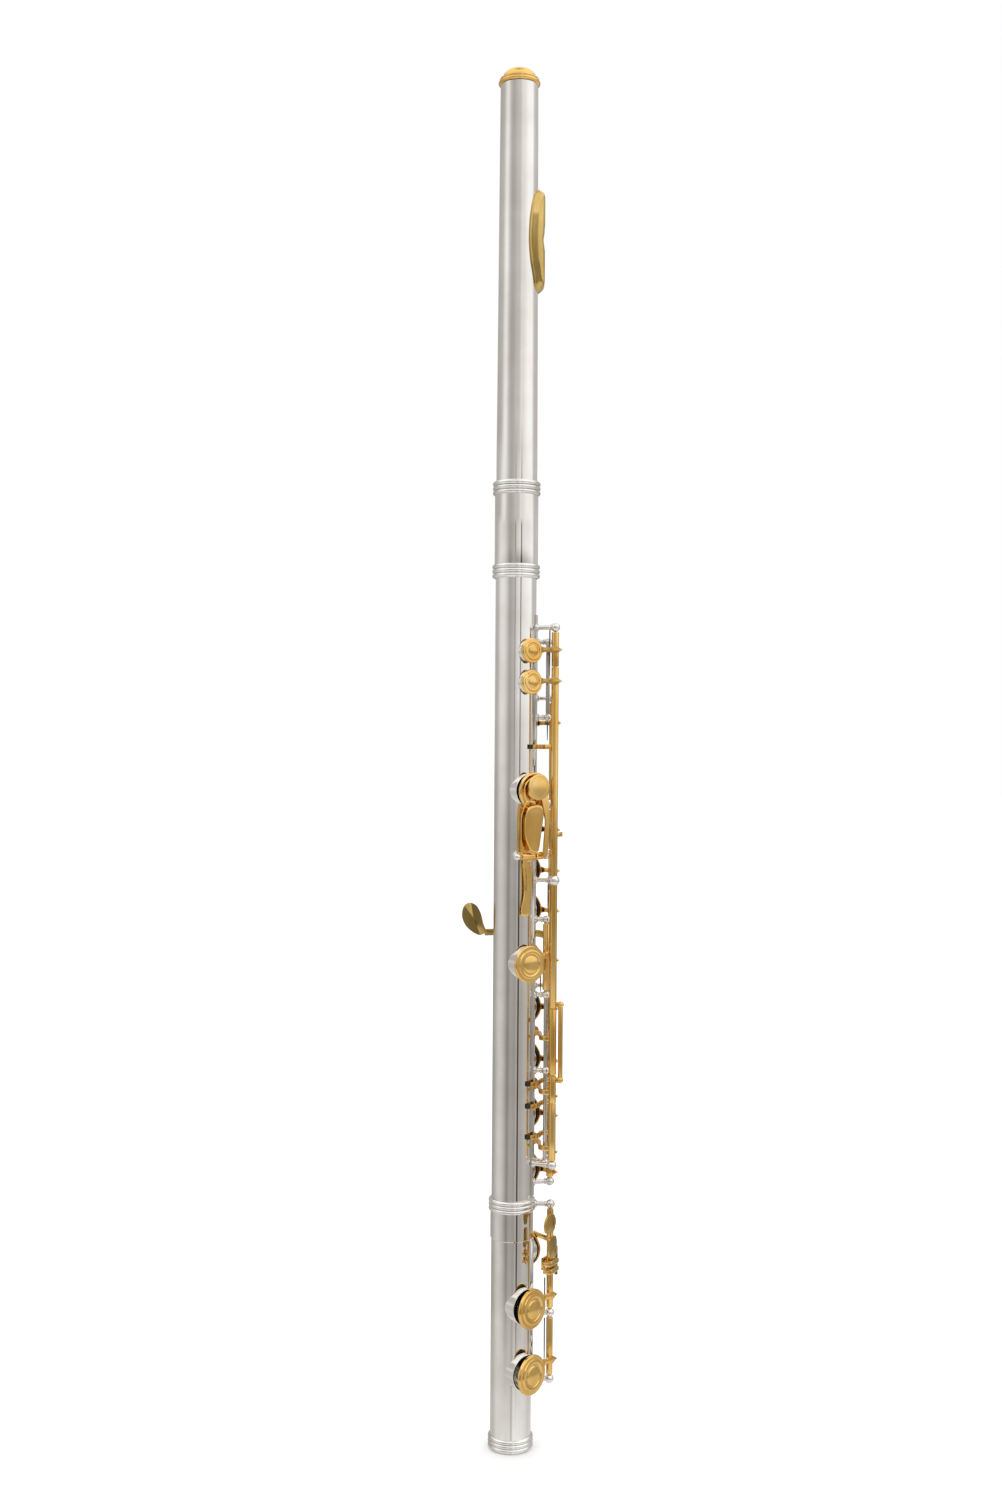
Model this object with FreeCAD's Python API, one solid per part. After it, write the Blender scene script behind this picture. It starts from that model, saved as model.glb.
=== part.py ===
import FreeCAD, Part
import math
import os

from FreeCAD import Vector

# Concert flute, C foot, closed-hole keys with an offset G.  Millimetres.
# +Z runs up the bore from the foot end to the crown, and the origin is the
# centre of the foot end's bore mouth.  Angles are measured round +Z from +X:
# the embouchure faces 0 degrees, the finger cups face FINGER_SIDE and the
# thumb, G sharp and trill cups face THUMB_SIDE.

# ---- tubes ----
BORE = 9.5
WALL = 0.4
TUBE = BORE + WALL
SOLDER = 0.07                    # gap between sleeves that slide or are soldered
FOOT_SOCKET_Z = 101.5
FOOT_TOP = 120.6
BODY_LOW = 104.6
BODY_TOP = 427.0
HEAD_LOW = 428.5
BARREL_LOW = 419.5
BARREL_TOP = 466.5
BARREL_OUT = 10.5
HEAD_TAPER_Z = 480.0
HEAD_TOP = 658.0
CROWN_END_R = 9.15               # outside radius of the head tube under the crown
CROWN_TOP = 666.5

# ---- head ----
BLOW_Z = 582.8
BLOW_LONG = 12.2                 # embouchure hole, along the tube
BLOW_WIDE = 10.4                 # embouchure hole, round the tube
LIP_HALF = 24.5                  # half the lip plate's length
LIP_TOP_X = 13.2
LIP_MIDDLE = 4.5                 # the middle that the lip plate bends round
LIP_THICK = 0.8
LIP_END_R = 3.8                  # round of the plate's two ends
# The plate's section as (out, round), and its rim as (out, up from the hole).
LIP_SECTION = ((4.6, 9.1), (7.4, 9.35), (9.8, 8.9), (11.6, 7.8), (12.7, 6.0), (13.1, 3.4), (13.2, 0))
LIP_EDGE = ((9.7, -25.5), (8.1, -19.5), (7.2, -14.7), (6.3, -10.0), (5.6, -1.0), (6.0, 9.1),
            (6.7, 13.9), (7.7, 18.7), (9.7, 25.5))
CORK_Z = BLOW_Z + 17.3           # face of the cork assembly

# ---- rows of cups, degrees round the tube ----
FINGER_SIDE = 70.0
THUMB_SIDE = -54.0
FOOT_SIDE = -50.0
EFLAT_SIDE = 62.0

# ---- hinge lines parallel to the bore ----
MAIN = Vector(18.4, 4.5, 0)
TRILL = Vector(19.0, -6.5, 0)
SIDE = Vector(15.7, -1.5, 0)
FOOT = Vector(18.6, -1.0, 0)

# ---- hinge hardware ----
STEEL = 1.0
FOOT_STEEL = 0.7
HUB = 1.75
FOOT_HUB = 1.6
RUN = 0.08                       # radial running clearance on a steel
BALL = 2.15
SHANK = 1.05
RIB_TOP = 10.7
RIB_LOW_DEG = -24.0
RIB_HIGH_DEG = 19.0

# ---- cups and pads, measured out from the bore axis with the key closed ----
RIM = 11.7                       # top of every tone-hole chimney
PAD_GAP = 0.08
CUP_LOW = 12.5
CUP_TOP = 14.6
CUP_SKIN = 0.55
CHIMNEY_WALL = 0.55
CUP_OVER_HOLE = 1.65             # cup radius less hole radius

# ---- how far keys travel, degrees ----
OPEN = 8.5                       # open-standing keys, held off the hole at rest
THUMB_OPEN = 4.5

# ---- cups: height up the tube and cup radius ----
CSHARP = (350.0, 5.6)
BFLAT = (298.0, 8.4)
A_CUP = (278.0, 8.4)
G_UPPER = (258.5, 8.8)
G_LOWER = (234.5, 8.8)
FSHARP = (211.0, 9.0)
F_CUP = (185.5, 9.0)
E_CUP = (159.0, 9.0)
D_CUP = (131.5, 9.0)
THUMB = (317.5, 8.7)
GSHARP = (234.5, 8.9)
D_TRILL = (369.4, 6.0)
DSHARP_TRILL = (384.4, 6.0)
EFLAT = (92.5, 9.0)
LOW_CSHARP = (70.0, 9.5)
LOW_C = (38.5, 9.5)

THUMB_HINGE_Z = 286.3
THUMB_HINGE_R = 15.2


def polar(radius, degrees, z=0.0):
    angle = math.radians(degrees)
    return Vector(radius * math.cos(angle), radius * math.sin(angle), z)


def outward(shape, degrees, z):
    # Local x goes up the tube, local z goes out from the bore axis, and local
    # y goes round the tube against the angle.
    out = polar(1.0, degrees)
    round_back = Vector(out.y, -out.x, 0)
    matrix = FreeCAD.Matrix(
        0, round_back.x, out.x, 0,
        0, round_back.y, out.y, 0,
        1, 0, 0, z,
        0, 0, 0, 1)
    moved = shape.copy()
    moved.Placement = FreeCAD.Placement(matrix).multiply(moved.Placement)
    return moved


def block(side, z_span, y_span, r_span):
    # A box in the outward frame, each span given as (low, high).
    size = [span[1] - span[0] for span in (z_span, y_span, r_span)]
    return outward(Part.makeBox(*size, Vector(0, y_span[0], r_span[0])), side, z_span[0])


def rod(radius, low, high, axis=Vector(0, 0, 0)):
    return Part.makeCylinder(radius, high - low, Vector(axis.x, axis.y, low))


def sleeve(outer, inner, low, high, axis=Vector(0, 0, 0)):
    return rod(outer, low, high, axis).cut(rod(inner, low - 1, high + 1, axis))


def fused(shapes):
    whole = shapes[0]
    if len(shapes) > 1:
        whole = whole.multiFuse(shapes[1:])
    return whole.removeSplitter()


def turned(profile):
    # Revolves a closed (radius, height) outline about Z.
    wire = Part.makePolygon([Vector(r, 0, h) for r, h in profile + profile[:1]])
    return Part.Face(wire).revolve(Vector(0, 0, 0), Vector(0, 0, 1), 360)


def smooth_plate(points, low, high):
    # A closed smooth outline in local x, y, made solid from low to high.
    curve = Part.BSplineCurve()
    curve.interpolate([Vector(x, y, low) for x, y in points], PeriodicFlag=True)
    face = Part.Face(Part.Wire([curve.toShape()]))
    return face.extrude(Vector(0, 0, high - low))


def strip(points, thick, low, high):
    # A bent bar of even thickness that follows points in the XY plane.
    left, right = [], []
    for i, point in enumerate(points):
        before = points[max(i - 1, 0)]
        after = points[min(i + 1, len(points) - 1)]
        along = Vector(after[0] - before[0], after[1] - before[1], 0).normalize()
        side = Vector(-along.y, along.x, 0) * (thick / 2)
        left.append(Vector(point[0], point[1], low) + side)
        right.append(Vector(point[0], point[1], low) - side)
    edges = []
    for row in (left, right):
        curve = Part.BSplineCurve()
        curve.interpolate(row)
        edges.append(curve.toShape())
    edges.append(Part.makeLine(left[0], right[0]))
    edges.append(Part.makeLine(left[-1], right[-1]))
    face = Part.Face(Part.Wire(Part.__sortEdges__(edges)))
    return face.extrude(Vector(0, 0, high - low))


def save(name, shapes):
    solids = shapes if isinstance(shapes, list) else [shapes]
    flat = []
    for shape in solids:
        flat.extend(shape.Solids)
    whole = flat[0] if len(flat) == 1 else Part.makeCompound(flat)
    whole.exportStep("parts/" + name + ".step")
    bad = [s for s in flat if not s.isValid() or s.Volume <= 0]
    print(name, len(flat), "bad" if bad else "ok")


# ---- tubes, sleeves and rings ----

def chimney(cup, degrees):
    z, radius = cup
    outer = radius - CUP_OVER_HOLE + CHIMNEY_WALL
    wall = Part.makeCylinder(outer, RIM, Vector(0, 0, 0))
    lip = Part.makeTorus(outer - 0.1, 0.3, Vector(0, 0, RIM - 0.3))
    return outward(wall.fuse(lip), degrees, z)


def tone_hole(cup, degrees, reach=RIM + 2):
    z, radius = cup
    return outward(Part.makeCylinder(radius - CUP_OVER_HOLE, reach), degrees, z)


BODY_HOLES = [(cup, FINGER_SIDE) for cup in
              (CSHARP, BFLAT, A_CUP, G_UPPER, G_LOWER, FSHARP, F_CUP, E_CUP, D_CUP)]
BODY_HOLES += [(cup, THUMB_SIDE) for cup in (THUMB, GSHARP, D_TRILL, DSHARP_TRILL)]
FOOT_HOLES = [(EFLAT, EFLAT_SIDE), (LOW_CSHARP, FOOT_SIDE), (LOW_C, FOOT_SIDE)]


def tone_hole_room(cup, degrees):
    # The space round a chimney that ribs and posts stand clear of.
    z, radius = cup
    room = Part.makeCylinder(radius - CUP_OVER_HOLE + CHIMNEY_WALL + 0.1, RIM)
    return outward(room, degrees, z)


def pierced(outer, holes, low, high):
    whole = outer.multiFuse([chimney(cup, side) for cup, side in holes])
    cutters = [tone_hole(cup, side) for cup, side in holes]
    cutters.append(rod(BORE, low, high))
    return whole.cut(cutters)


def body_tube():
    return pierced(rod(TUBE, BODY_LOW, BODY_TOP), BODY_HOLES, BODY_LOW - 1, BODY_TOP + 1)


def foot_tube():
    outer = turned([
        (0, 0), (TUBE, 0), (TUBE, FOOT_SOCKET_Z - 0.5), (TUBE + 0.45, FOOT_SOCKET_Z),
        (TUBE + 0.45, FOOT_TOP), (0, FOOT_TOP)])
    whole = pierced(outer, FOOT_HOLES, -1, FOOT_TOP + 1)
    return whole.cut(rod(TUBE + SOLDER, BODY_LOW - 0.3, FOOT_TOP + 1))


def barrel():
    return sleeve(BARREL_OUT, TUBE + SOLDER, BARREL_LOW, BARREL_TOP)


def bead_ring(low, high, seat, crest):
    # Three round beads side by side, turned from one ring with narrow lands between.
    inner = seat + 0.02
    pitch = (high - low) / 3
    bead = pitch / 2 - 0.08
    root = crest - bead
    corners = [Vector(root, 0, high), Vector(inner, 0, high), Vector(inner, 0, low), Vector(root, 0, low)]
    edges = Part.makePolygon(corners).Edges
    last = corners[-1]
    for i in range(3):
        z = low + pitch * (i + 0.5)
        edges.append(Part.makeLine(last, Vector(root, 0, z - bead)))
        edges.append(Part.Arc(Vector(root, 0, z - bead), Vector(crest, 0, z), Vector(root, 0, z + bead)).toShape())
        last = Vector(root, 0, z + bead)
    edges.append(Part.makeLine(last, corners[0]))
    return Part.Face(Part.Wire(edges)).revolve(Vector(0, 0, 0), Vector(0, 0, 1), 360)


def head_radius(z):
    part = min(max((z - HEAD_TAPER_Z) / (HEAD_TOP - HEAD_TAPER_Z), 0), 1)
    return TUBE + (CROWN_END_R - TUBE) * part


def blow_hole(grow=0.0):
    hole = Part.Ellipse(Vector(0, 0, 0), BLOW_LONG / 2 + grow, BLOW_WIDE / 2 + grow)
    face = Part.Face(Part.Wire([hole.toShape()]))
    return outward(face.extrude(Vector(0, 0, 20)), 0, BLOW_Z)


def head_tube():
    wall = turned([
        (BORE, HEAD_LOW), (TUBE, HEAD_LOW), (TUBE, HEAD_TAPER_Z), (CROWN_END_R, HEAD_TOP),
        (CROWN_END_R - WALL, HEAD_TOP), (BORE, HEAD_TAPER_Z)])
    return wall.cut(blow_hole(0.3))


def lip_section(shrink):
    # The plate's outside, seen along the tube, drawn in by shrink all round.
    scale_x = 1 - shrink / (LIP_TOP_X - LIP_MIDDLE)
    scale_y = 1 - shrink / LIP_SECTION[0][1]
    half = [Vector(LIP_MIDDLE + (x - LIP_MIDDLE) * scale_x, y * scale_y, 0) for x, y in LIP_SECTION]
    curve = Part.BSplineCurve()
    curve.interpolate(half + [Vector(p.x, -p.y, 0) for p in reversed(half[:-1])])
    return Part.Face(Part.Wire([curve.toShape(), Part.makeLine(Vector(half[0].x, -half[0].y, 0), half[0])]))


def lip_block(shrink):
    # The space under the lip plate's outside: the section, with rounded-off ends.
    half = LIP_HALF - shrink
    bar = lip_section(shrink).extrude(Vector(0, 0, 2 * half))
    bar.translate(Vector(0, 0, BLOW_Z - half))
    side = Part.makeBox(LIP_TOP_X - shrink + 5, 40, 2 * half, Vector(-5, -20, BLOW_Z - half))
    corners = [e for e in side.Edges
               if e.BoundBox.XMin > LIP_TOP_X - shrink - 0.01 and e.BoundBox.YLength > 39]
    return bar.common(side.makeFillet(LIP_END_R - shrink, corners))


def near_tube(grow, reach):
    # The space that the tapered head takes up beside the lip plate.
    return turned([(0, BLOW_Z - reach), (head_radius(BLOW_Z - reach) + grow, BLOW_Z - reach),
                   (head_radius(BLOW_Z + reach) + grow, BLOW_Z + reach), (0, BLOW_Z + reach)])


def lip_plate():
    shell = lip_block(0).cut(lip_block(LIP_THICK))
    # The wings reach furthest round the tube in the middle.
    edge = Part.BSplineCurve()
    edge.interpolate([Vector(x, 0, z) for x, z in LIP_EDGE])
    corners = [Vector(LIP_EDGE[-1][0], 0, LIP_EDGE[-1][1]), Vector(20, 0, LIP_EDGE[-1][1]),
               Vector(20, 0, LIP_EDGE[0][1]), Vector(LIP_EDGE[0][0], 0, LIP_EDGE[0][1])]
    wire = Part.Wire([edge.toShape()] + Part.makePolygon(corners).Edges)
    keep = Part.Face(wire).extrude(Vector(0, 30, 0))
    keep.translate(Vector(0, -15, BLOW_Z))
    return shell.common(keep).cut([near_tube(0.02, 40), blow_hole()])


def lip_riser():
    wall = blow_hole(1.3).cut(blow_hole())
    return wall.common(lip_block(LIP_THICK + 0.02)).cut(near_tube(0.02, 20))


def crown():
    low = HEAD_TOP + 0.25
    ring = Part.makeTorus(9.5, 0.75, Vector(0, 0, low + 0.9)).cut(rod(12, low - 3, low))
    cap = turned([
        (0, low), (9.7, low), (9.7, low + 2.2), (9.2, low + 4.2), (8.0, low + 6.2),
        (6.0, low + 7.5), (3.2, low + 8.2), (0, CROWN_TOP)])
    stem = rod(4.5, low - 6, low + 0.1)
    return fused([cap, ring, stem]).cut(rod(1.6, low - 7, low + 5))


def head_cork():
    return sleeve(8.82, 2.02, CORK_Z + 1.2, CORK_Z + 21)


def cork_screw():
    screw = rod(1.5, CORK_Z + 1, HEAD_TOP + 1.5)
    collar = rod(2.0, CORK_Z + 1, CORK_Z + 20.9)
    face_plate = rod(8.6, CORK_Z, CORK_Z + 1.18)
    nut_plate = rod(7.6, CORK_Z + 21.02, CORK_Z + 22.4)
    return fused([screw, collar, face_plate, nut_plate])


# ---- ribs and posts ----

def sector(inner, outer, low_deg, high_deg, low, high):
    ring = Part.makeCylinder(outer, high - low, Vector(0, 0, low), Vector(0, 0, 1), high_deg - low_deg)
    ring.rotate(Vector(0, 0, 0), Vector(0, 0, 1), low_deg)
    return ring.cut(rod(inner, low - 1, high + 1))


def rib(low, high, low_deg, high_deg, holes):
    strap = sector(TUBE + 0.02, RIB_TOP, low_deg, high_deg, low, high)
    for cup, side in holes:
        z, radius = cup
        room = Part.makeCylinder(radius - CUP_OVER_HOLE + CHIMNEY_WALL + 0.45, 20)
        strap = strap.cut(outward(room, side, z))
    return max(strap.Solids, key=lambda s: s.Volume)


def post(axis, z, hole, ball=BALL, seat=RIB_TOP):
    # A turned post that stands square on the tube and is drilled for its rod.
    reach = Vector(axis.x, axis.y, 0).Length
    degrees = math.degrees(math.atan2(axis.y, axis.x))
    shape = turned([
        (0, seat - 0.4), (1.9, seat - 0.4), (1.9, seat + 0.55), (SHANK + 0.1, seat + 1.15),
        (SHANK, reach - ball * 0.7), (0, reach - ball * 0.7)])
    head = Part.makeSphere(ball, Vector(0, 0, reach))
    shape = outward(fused([shape, head]), degrees, z)
    return shape.cut([rod(hole, z - 8, z + 8, axis), rod(seat + 0.01, z - 8, z + 8)])


MAIN_POSTS = (362.0, 310.0, 222.5, 137.5, 127.0)
SIDE_POSTS_LOW = (255.0, 218.6, 182.0, 137.5)
SIDE_POSTS_HIGH = (389.0, 352.5)
FOOT_POST_TOP = 117.4
FOOT_POST_MID = 65.0
FOOT_POST_LOW = 33.0


def body_posts():
    posts = [post(MAIN, z, STEEL + 0.02) for z in MAIN_POSTS]
    posts += [post(SIDE, z, STEEL + 0.02, 1.9) for z in SIDE_POSTS_LOW + SIDE_POSTS_HIGH]
    posts.append(post(TRILL, 395.8, 0.45, 2.2))
    posts.append(post(TRILL, 274.3, HUB + RUN, 2.8))
    posts.append(post(TRILL, 137.5, 0.45, 2.2))
    return posts


def thumb_frame_point(along_y, out, z=0.0):
    # along_y runs along the thumb hinge, positive to the player's left.
    away = polar(1.0, THUMB_SIDE)
    side = Vector(away.y, -away.x, 0)
    return away * out + side * along_y + Vector(0, 0, z)


THUMB_POST_LEFT = 9.5
THUMB_POST_RIGHT = -7.5


def thumb_posts():
    shapes = []
    for place in (THUMB_POST_LEFT, THUMB_POST_RIGHT):
        centre = thumb_frame_point(place, THUMB_HINGE_R)
        strap = sector(TUBE - 1, RIB_TOP + 0.02, RIB_LOW_DEG - 0.1, RIB_HIGH_DEG,
                       THUMB_HINGE_Z - 6, THUMB_HINGE_Z + 6)
        shapes.append(post(centre, THUMB_HINGE_Z, 0.01, 1.8, TUBE).cut([thumb_pin(0.72), strap]))
    return shapes


def thumb_pin(radius):
    start = thumb_frame_point(THUMB_POST_RIGHT - 2.2, THUMB_HINGE_R, THUMB_HINGE_Z)
    end = thumb_frame_point(THUMB_POST_LEFT + 2.2, THUMB_HINGE_R, THUMB_HINGE_Z)
    return Part.makeCylinder(radius, (end - start).Length, start, end - start)


def steels():
    low = rod(STEEL, 125.0, 222.4, MAIN)
    high = rod(STEEL, 222.6, 363.8, MAIN)
    side_low = rod(STEEL, 136.0, 256.6, SIDE)
    side_high = rod(STEEL, 351.0, 390.6, SIDE)
    ends = [rod(0.45, 392.6, 397.5, TRILL), rod(0.45, 135.8, 140.8, TRILL)]
    return [low, high, side_low, side_high] + ends


def needle(axis, low, high, inward=2.75, turn=0.0):
    degrees = math.degrees(math.atan2(axis.y, axis.x)) + 180 + turn
    centre = axis + polar(inward, degrees)
    return rod(0.32, low, high, centre)


def body_springs():
    main_spans = ((341.5, 360.6), (291.0, 308.6), (200.5, 221.2), (178.2, 190.0), (139.0, 149.0))
    springs = [needle(MAIN, low, high) for low, high in main_spans]
    springs.append(needle(TRILL, 372.5, 394.4, 2.75, 30))
    springs.append(needle(TRILL, 259.0, 272.6, 2.75, 30))
    springs.append(needle(SIDE, 220.0, 231.0, 2.6))
    return springs


# ---- cups, pads and arms ----

def cup_shell(radius):
    groove = radius * 0.62
    return turned([
        (0, CUP_TOP - CUP_SKIN), (radius - CUP_SKIN, CUP_TOP - CUP_SKIN), (radius - CUP_SKIN, CUP_LOW),
        (radius, CUP_LOW), (radius, CUP_TOP - 0.75), (radius - 0.25, CUP_TOP - 0.25),
        (radius - 0.75, CUP_TOP), (groove + 0.4, CUP_TOP), (groove + 0.15, CUP_TOP - 0.22),
        (groove - 0.15, CUP_TOP - 0.22), (groove - 0.4, CUP_TOP), (0, CUP_TOP)])


def pad_disc(radius):
    low = RIM + PAD_GAP
    edge = radius - CUP_SKIN - 0.06
    return turned([
        (0, low), (edge - 0.5, low), (edge, low + 0.45), (edge, CUP_TOP - CUP_SKIN - 0.03),
        (0, CUP_TOP - CUP_SKIN - 0.03)])


def pointed_arm(axis, cup, side, hub, tip=3.6, shift=0.0, wide=1.0):
    # A flat arm from the cup's shoulder over the hinge tube to a point beyond
    # it.  shift moves the arm along the tube from the cup's centre.
    cup_z, radius = cup
    out = polar(1.0, side)
    tangent = Vector(-out.y, out.x, 0)
    if tangent.dot(axis) < 0:
        tangent = tangent * -1
    bite = math.sqrt(radius ** 2 - shift ** 2)
    edge = out * (CUP_TOP - 1.3) + tangent * (bite - 0.3)
    span = edge - axis
    lift = hub - 0.75
    lean = math.degrees(math.asin(lift / span.Length))
    reach = math.sqrt(span.Length ** 2 - lift ** 2)
    along = span.normalize()
    turn = FreeCAD.Rotation(Vector(0, 0, 1), lean)
    back = FreeCAD.Rotation(Vector(0, 0, 1), -lean)
    normal = Vector(along.y, -along.x, 0)
    if normal.dot(axis) > 0:
        along = turn.multVec(along)
        normal = turn.multVec(normal)
    else:
        along = back.multVec(along)
        normal = back.multVec(normal * -1)
    half = ((reach + 1.0, 1.5), (reach - 0.6, 1.4), (reach * 0.5 + 0.8, 0.95), (1.5, 1.7), (-0.2, 1.9),
            (-1.6, 1.15))
    outline = [(s, w * wide) for s, w in half] + [(-tip, 0.0)]
    outline += [(s, -w * wide) for s, w in reversed(half)]
    points = [axis + along * s + normal * lift + Vector(0, 0, cup_z + shift + w) for s, w in outline]
    arm = Part.Face(Part.makePolygon(points + points[:1])).extrude(normal * 1.15)
    hollow = Part.makeCylinder(radius - CUP_SKIN / 2, CUP_TOP - CUP_SKIN / 2)
    return arm.cut(outward(hollow, side, cup_z))


def key_cup(cup, side):
    z, radius = cup
    return outward(cup_shell(radius), side, z)


def key_pad(cup, side):
    z, radius = cup
    return outward(pad_disc(radius), side, z)


def swung(shapes, axis, degrees):
    moved = []
    for shape in shapes:
        copy = shape.copy()
        copy.rotate(axis, Vector(0, 0, 1), degrees)
        moved.append(copy)
    return moved


def finger_key(name, cups, tube_low, tube_high, feet=()):
    # An open-standing key on the main line: cups, arms and one hinge tube.
    gold = []
    pads = []
    for cup in cups:
        gold.append(key_cup(cup, FINGER_SIDE))
        gold.append(pointed_arm(MAIN, cup, FINGER_SIDE, HUB))
        pads.append(key_pad(cup, FINGER_SIDE))
    gold = swung(gold, MAIN, -OPEN)
    gold.append(rod(HUB, tube_low, tube_high, MAIN))
    gold += [key_foot(z) for z in feet]
    save(name + "_key", fused(gold).cut(rod(STEEL + RUN, tube_low - 1, tube_high + 1, MAIN)))
    save(name + "_pad", swung(pads, MAIN, -OPEN))
    if feet:
        save(name + "_bumper", [foot_felt(z) for z in feet])


FOOT_PATH = ((18.0, 3.9), (15.6, 2.9), (13.7, 1.0), (12.9, -2.2), (11.4, -5.6), (8.6, -8.6))


def key_foot(z):
    # The stop that rests on the tube while the key stands open.
    return strip(FOOT_PATH, 1.3, z - 1.1, z + 1.1).cut(rod(TUBE + 1.2, z - 5, z + 5))


def foot_felt(z):
    return sector(TUBE + 0.12, TUBE + 1.17, -50.0, -39.0, z - 1.15, z + 1.15)


# ---- trill keys, Bb side lever and G sharp ----

BRIDGE_LOW = 178.4
BRIDGE_HIGH = 214.7
BRIDGE_OUT = 3.7
TOUCH_R = 17.6
TRILL_ARM = ((18.4, -6.0), (15.6, -5.3), (13.6, -3.4), (13.2, 0.8), (13.3, 5.2), (12.2, 9.6),
             (9.6, 13.6), (6.4, 16.6))


def trill_touch(z, length, width=13.0):
    ends = min(2.4, length * 0.39)
    half = width / 2
    outline = [(length / 2, -half + ends), (length / 2, half - ends), (length / 2 - ends, half),
               (-length / 2 + ends, half), (-length / 2, half - ends), (-length / 2, -half + ends),
               (-length / 2 + ends, -half), (length / 2 - ends, -half)]
    return outward(smooth_plate(outline, TOUCH_R, TOUCH_R + 1.2), FINGER_SIDE - 2, z)


def trill_lever(z, length=6.2):
    return fused([strip(TRILL_ARM, 1.5, z - 1.2, z + 1.2), trill_touch(z, length)])


def bridge_end(z):
    # A lug that carries the outboard bar clear of the hinge line.
    centre = TRILL + Vector(BRIDGE_OUT, 0, 0)
    web = Part.makeBox(BRIDGE_OUT, 1.6, 2.4, Vector(TRILL.x, TRILL.y - 0.8, z - 1.2))
    return fused([web, Part.makeSphere(1.55, Vector(centre.x, centre.y, z))])


def d_trill_key():
    shapes = [
        key_cup(D_TRILL, THUMB_SIDE),
        pointed_arm(TRILL, D_TRILL, THUMB_SIDE, HUB, 3.4, 0.6),
        rod(HUB, 213.0, 376.6, TRILL), rod(HUB, 167.4, 180.4, TRILL),
        bridge_end(BRIDGE_HIGH), bridge_end(BRIDGE_LOW),
        rod(1.15, BRIDGE_LOW, BRIDGE_HIGH, TRILL + Vector(BRIDGE_OUT, 0, 0)),
        trill_lever(172.3), hub_point(170.8)]
    cutter = rod(STEEL + RUN, 160, 380, TRILL)
    save("d_trill_key", fused(shapes).cut(cutter))
    save("d_trill_pad", key_pad(D_TRILL, THUMB_SIDE))


def hub_point(z):
    # The short pointed end of an arm on the outer side of the hinge tube.
    points = [Vector(TRILL.x + 0.6, TRILL.y, z - 1.7), Vector(TRILL.x + 2.9, TRILL.y, z),
              Vector(TRILL.x + 0.6, TRILL.y, z + 1.7)]
    face = Part.Face(Part.makePolygon(points + points[:1]))
    return face.extrude(Vector(0, -1.1, 0)).translated(Vector(0, 0.1, 0))


def dsharp_trill_key():
    core = rod(STEEL, 139.8, 393.4, TRILL)
    shapes = [
        core, rod(HUB, 377.0, 393.4, TRILL), rod(HUB, 139.8, 167.0, TRILL),
        key_cup(DSHARP_TRILL, THUMB_SIDE),
        pointed_arm(TRILL, DSHARP_TRILL, THUMB_SIDE, HUB, 3.4, 0.6),
        trill_lever(145.3), hub_point(144.0)]
    cutters = [rod(0.52, 392.0, 394.0, TRILL), rod(0.52, 139.0, 141.2, TRILL)]
    save("dsharp_trill_key", fused(shapes).cut(cutters))
    save("dsharp_trill_pad", key_pad(DSHARP_TRILL, THUMB_SIDE))


PUSH = Vector(19.6, -1.0, 0)


def bb_side_lever():
    hub = rod(HUB, 181.0, 212.4, TRILL)
    touch = trill_lever(198.2, 5.0)
    web = strip(((19.0, -6.3), (19.5, -3.6), (19.6, -1.0)), 1.2, 204.0, 206.4)
    push = rod(0.6, 204.0, 297.0, PUSH)
    finger = strip(((19.6, -1.0), (21.6, 0.9), (22.9, 3.4), (22.8, 6.0)), 1.0, 294.8, 297.0)
    shape = fused([hub, touch, web, push, finger]).cut(rod(STEEL + RUN, 180, 214, TRILL))
    save("bb_side_lever", shape)


GSHARP_ARM = ((15.7, -1.5), (15.2, 2.0), (13.6, 6.4), (9.8, 11.2), (4.2, 14.2), (-2.0, 14.9),
              (-8.2, 14.1), (-13.9, 12.0))
GSHARP_ARM_Z = 247.0


def gsharp_touch():
    # A leaf for the little finger, seen square on along the bore's cross axis.
    outline = [(248.5, 13.4), (251.2, 14.9), (256.3, 16.2), (260.2, 18.4), (261.8, 21.8),
               (259.8, 24.8), (255.4, 25.7), (250.8, 24.0), (247.5, 20.6), (245.7, 16.8),
               (245.5, 13.4)]
    curve = Part.BSplineCurve()
    curve.interpolate([Vector(-x, 0, z) for z, x in outline])
    wire = Part.Wire([curve.toShape(), Part.makeLine(
        Vector(-outline[-1][1], 0, outline[-1][0]), Vector(-outline[0][1], 0, outline[0][0]))])
    leaf = Part.Face(wire).extrude(Vector(0, 1.5, 0))
    leaf.translate(Vector(0, 11.4, 0))
    leaf.rotate(Vector(-13.4, 12.1, 0), Vector(0, 0, 1), 12)
    return leaf


def gsharp_key():
    shapes = [
        key_cup(GSHARP, THUMB_SIDE),
        pointed_arm(SIDE, GSHARP, THUMB_SIDE, FOOT_HUB, 2.2, 3.5),
        rod(1.6, 221.0, 252.8, SIDE), gsharp_touch(),
        strip(GSHARP_ARM, 1.7, GSHARP_ARM_Z - 1.6, GSHARP_ARM_Z + 1.6)]
    save("gsharp_key", fused(shapes).cut(rod(STEEL + RUN, 220, 254, SIDE)))
    save("gsharp_pad", key_pad(GSHARP, THUMB_SIDE))


# ---- thumb keys, on a short pin across the tube ----

def thumb_frame(shape):
    # Local x up the tube from the thumb hinge, z out from the bore axis.
    return outward(shape, THUMB_SIDE, THUMB_HINGE_Z)


def thumb_swing(shapes, degrees):
    pivot = thumb_frame_point(0, THUMB_HINGE_R, THUMB_HINGE_Z)
    across = thumb_frame_point(-1, 0)
    moved = []
    for shape in shapes:
        copy = shape.copy()
        copy.rotate(pivot, across, degrees)
        moved.append(copy)
    return moved


def cross_barrel(low_y, high_y, radius):
    start = Vector(0, low_y, THUMB_HINGE_R)
    return Part.makeCylinder(radius, high_y - low_y, start, Vector(0, 1, 0))


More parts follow.
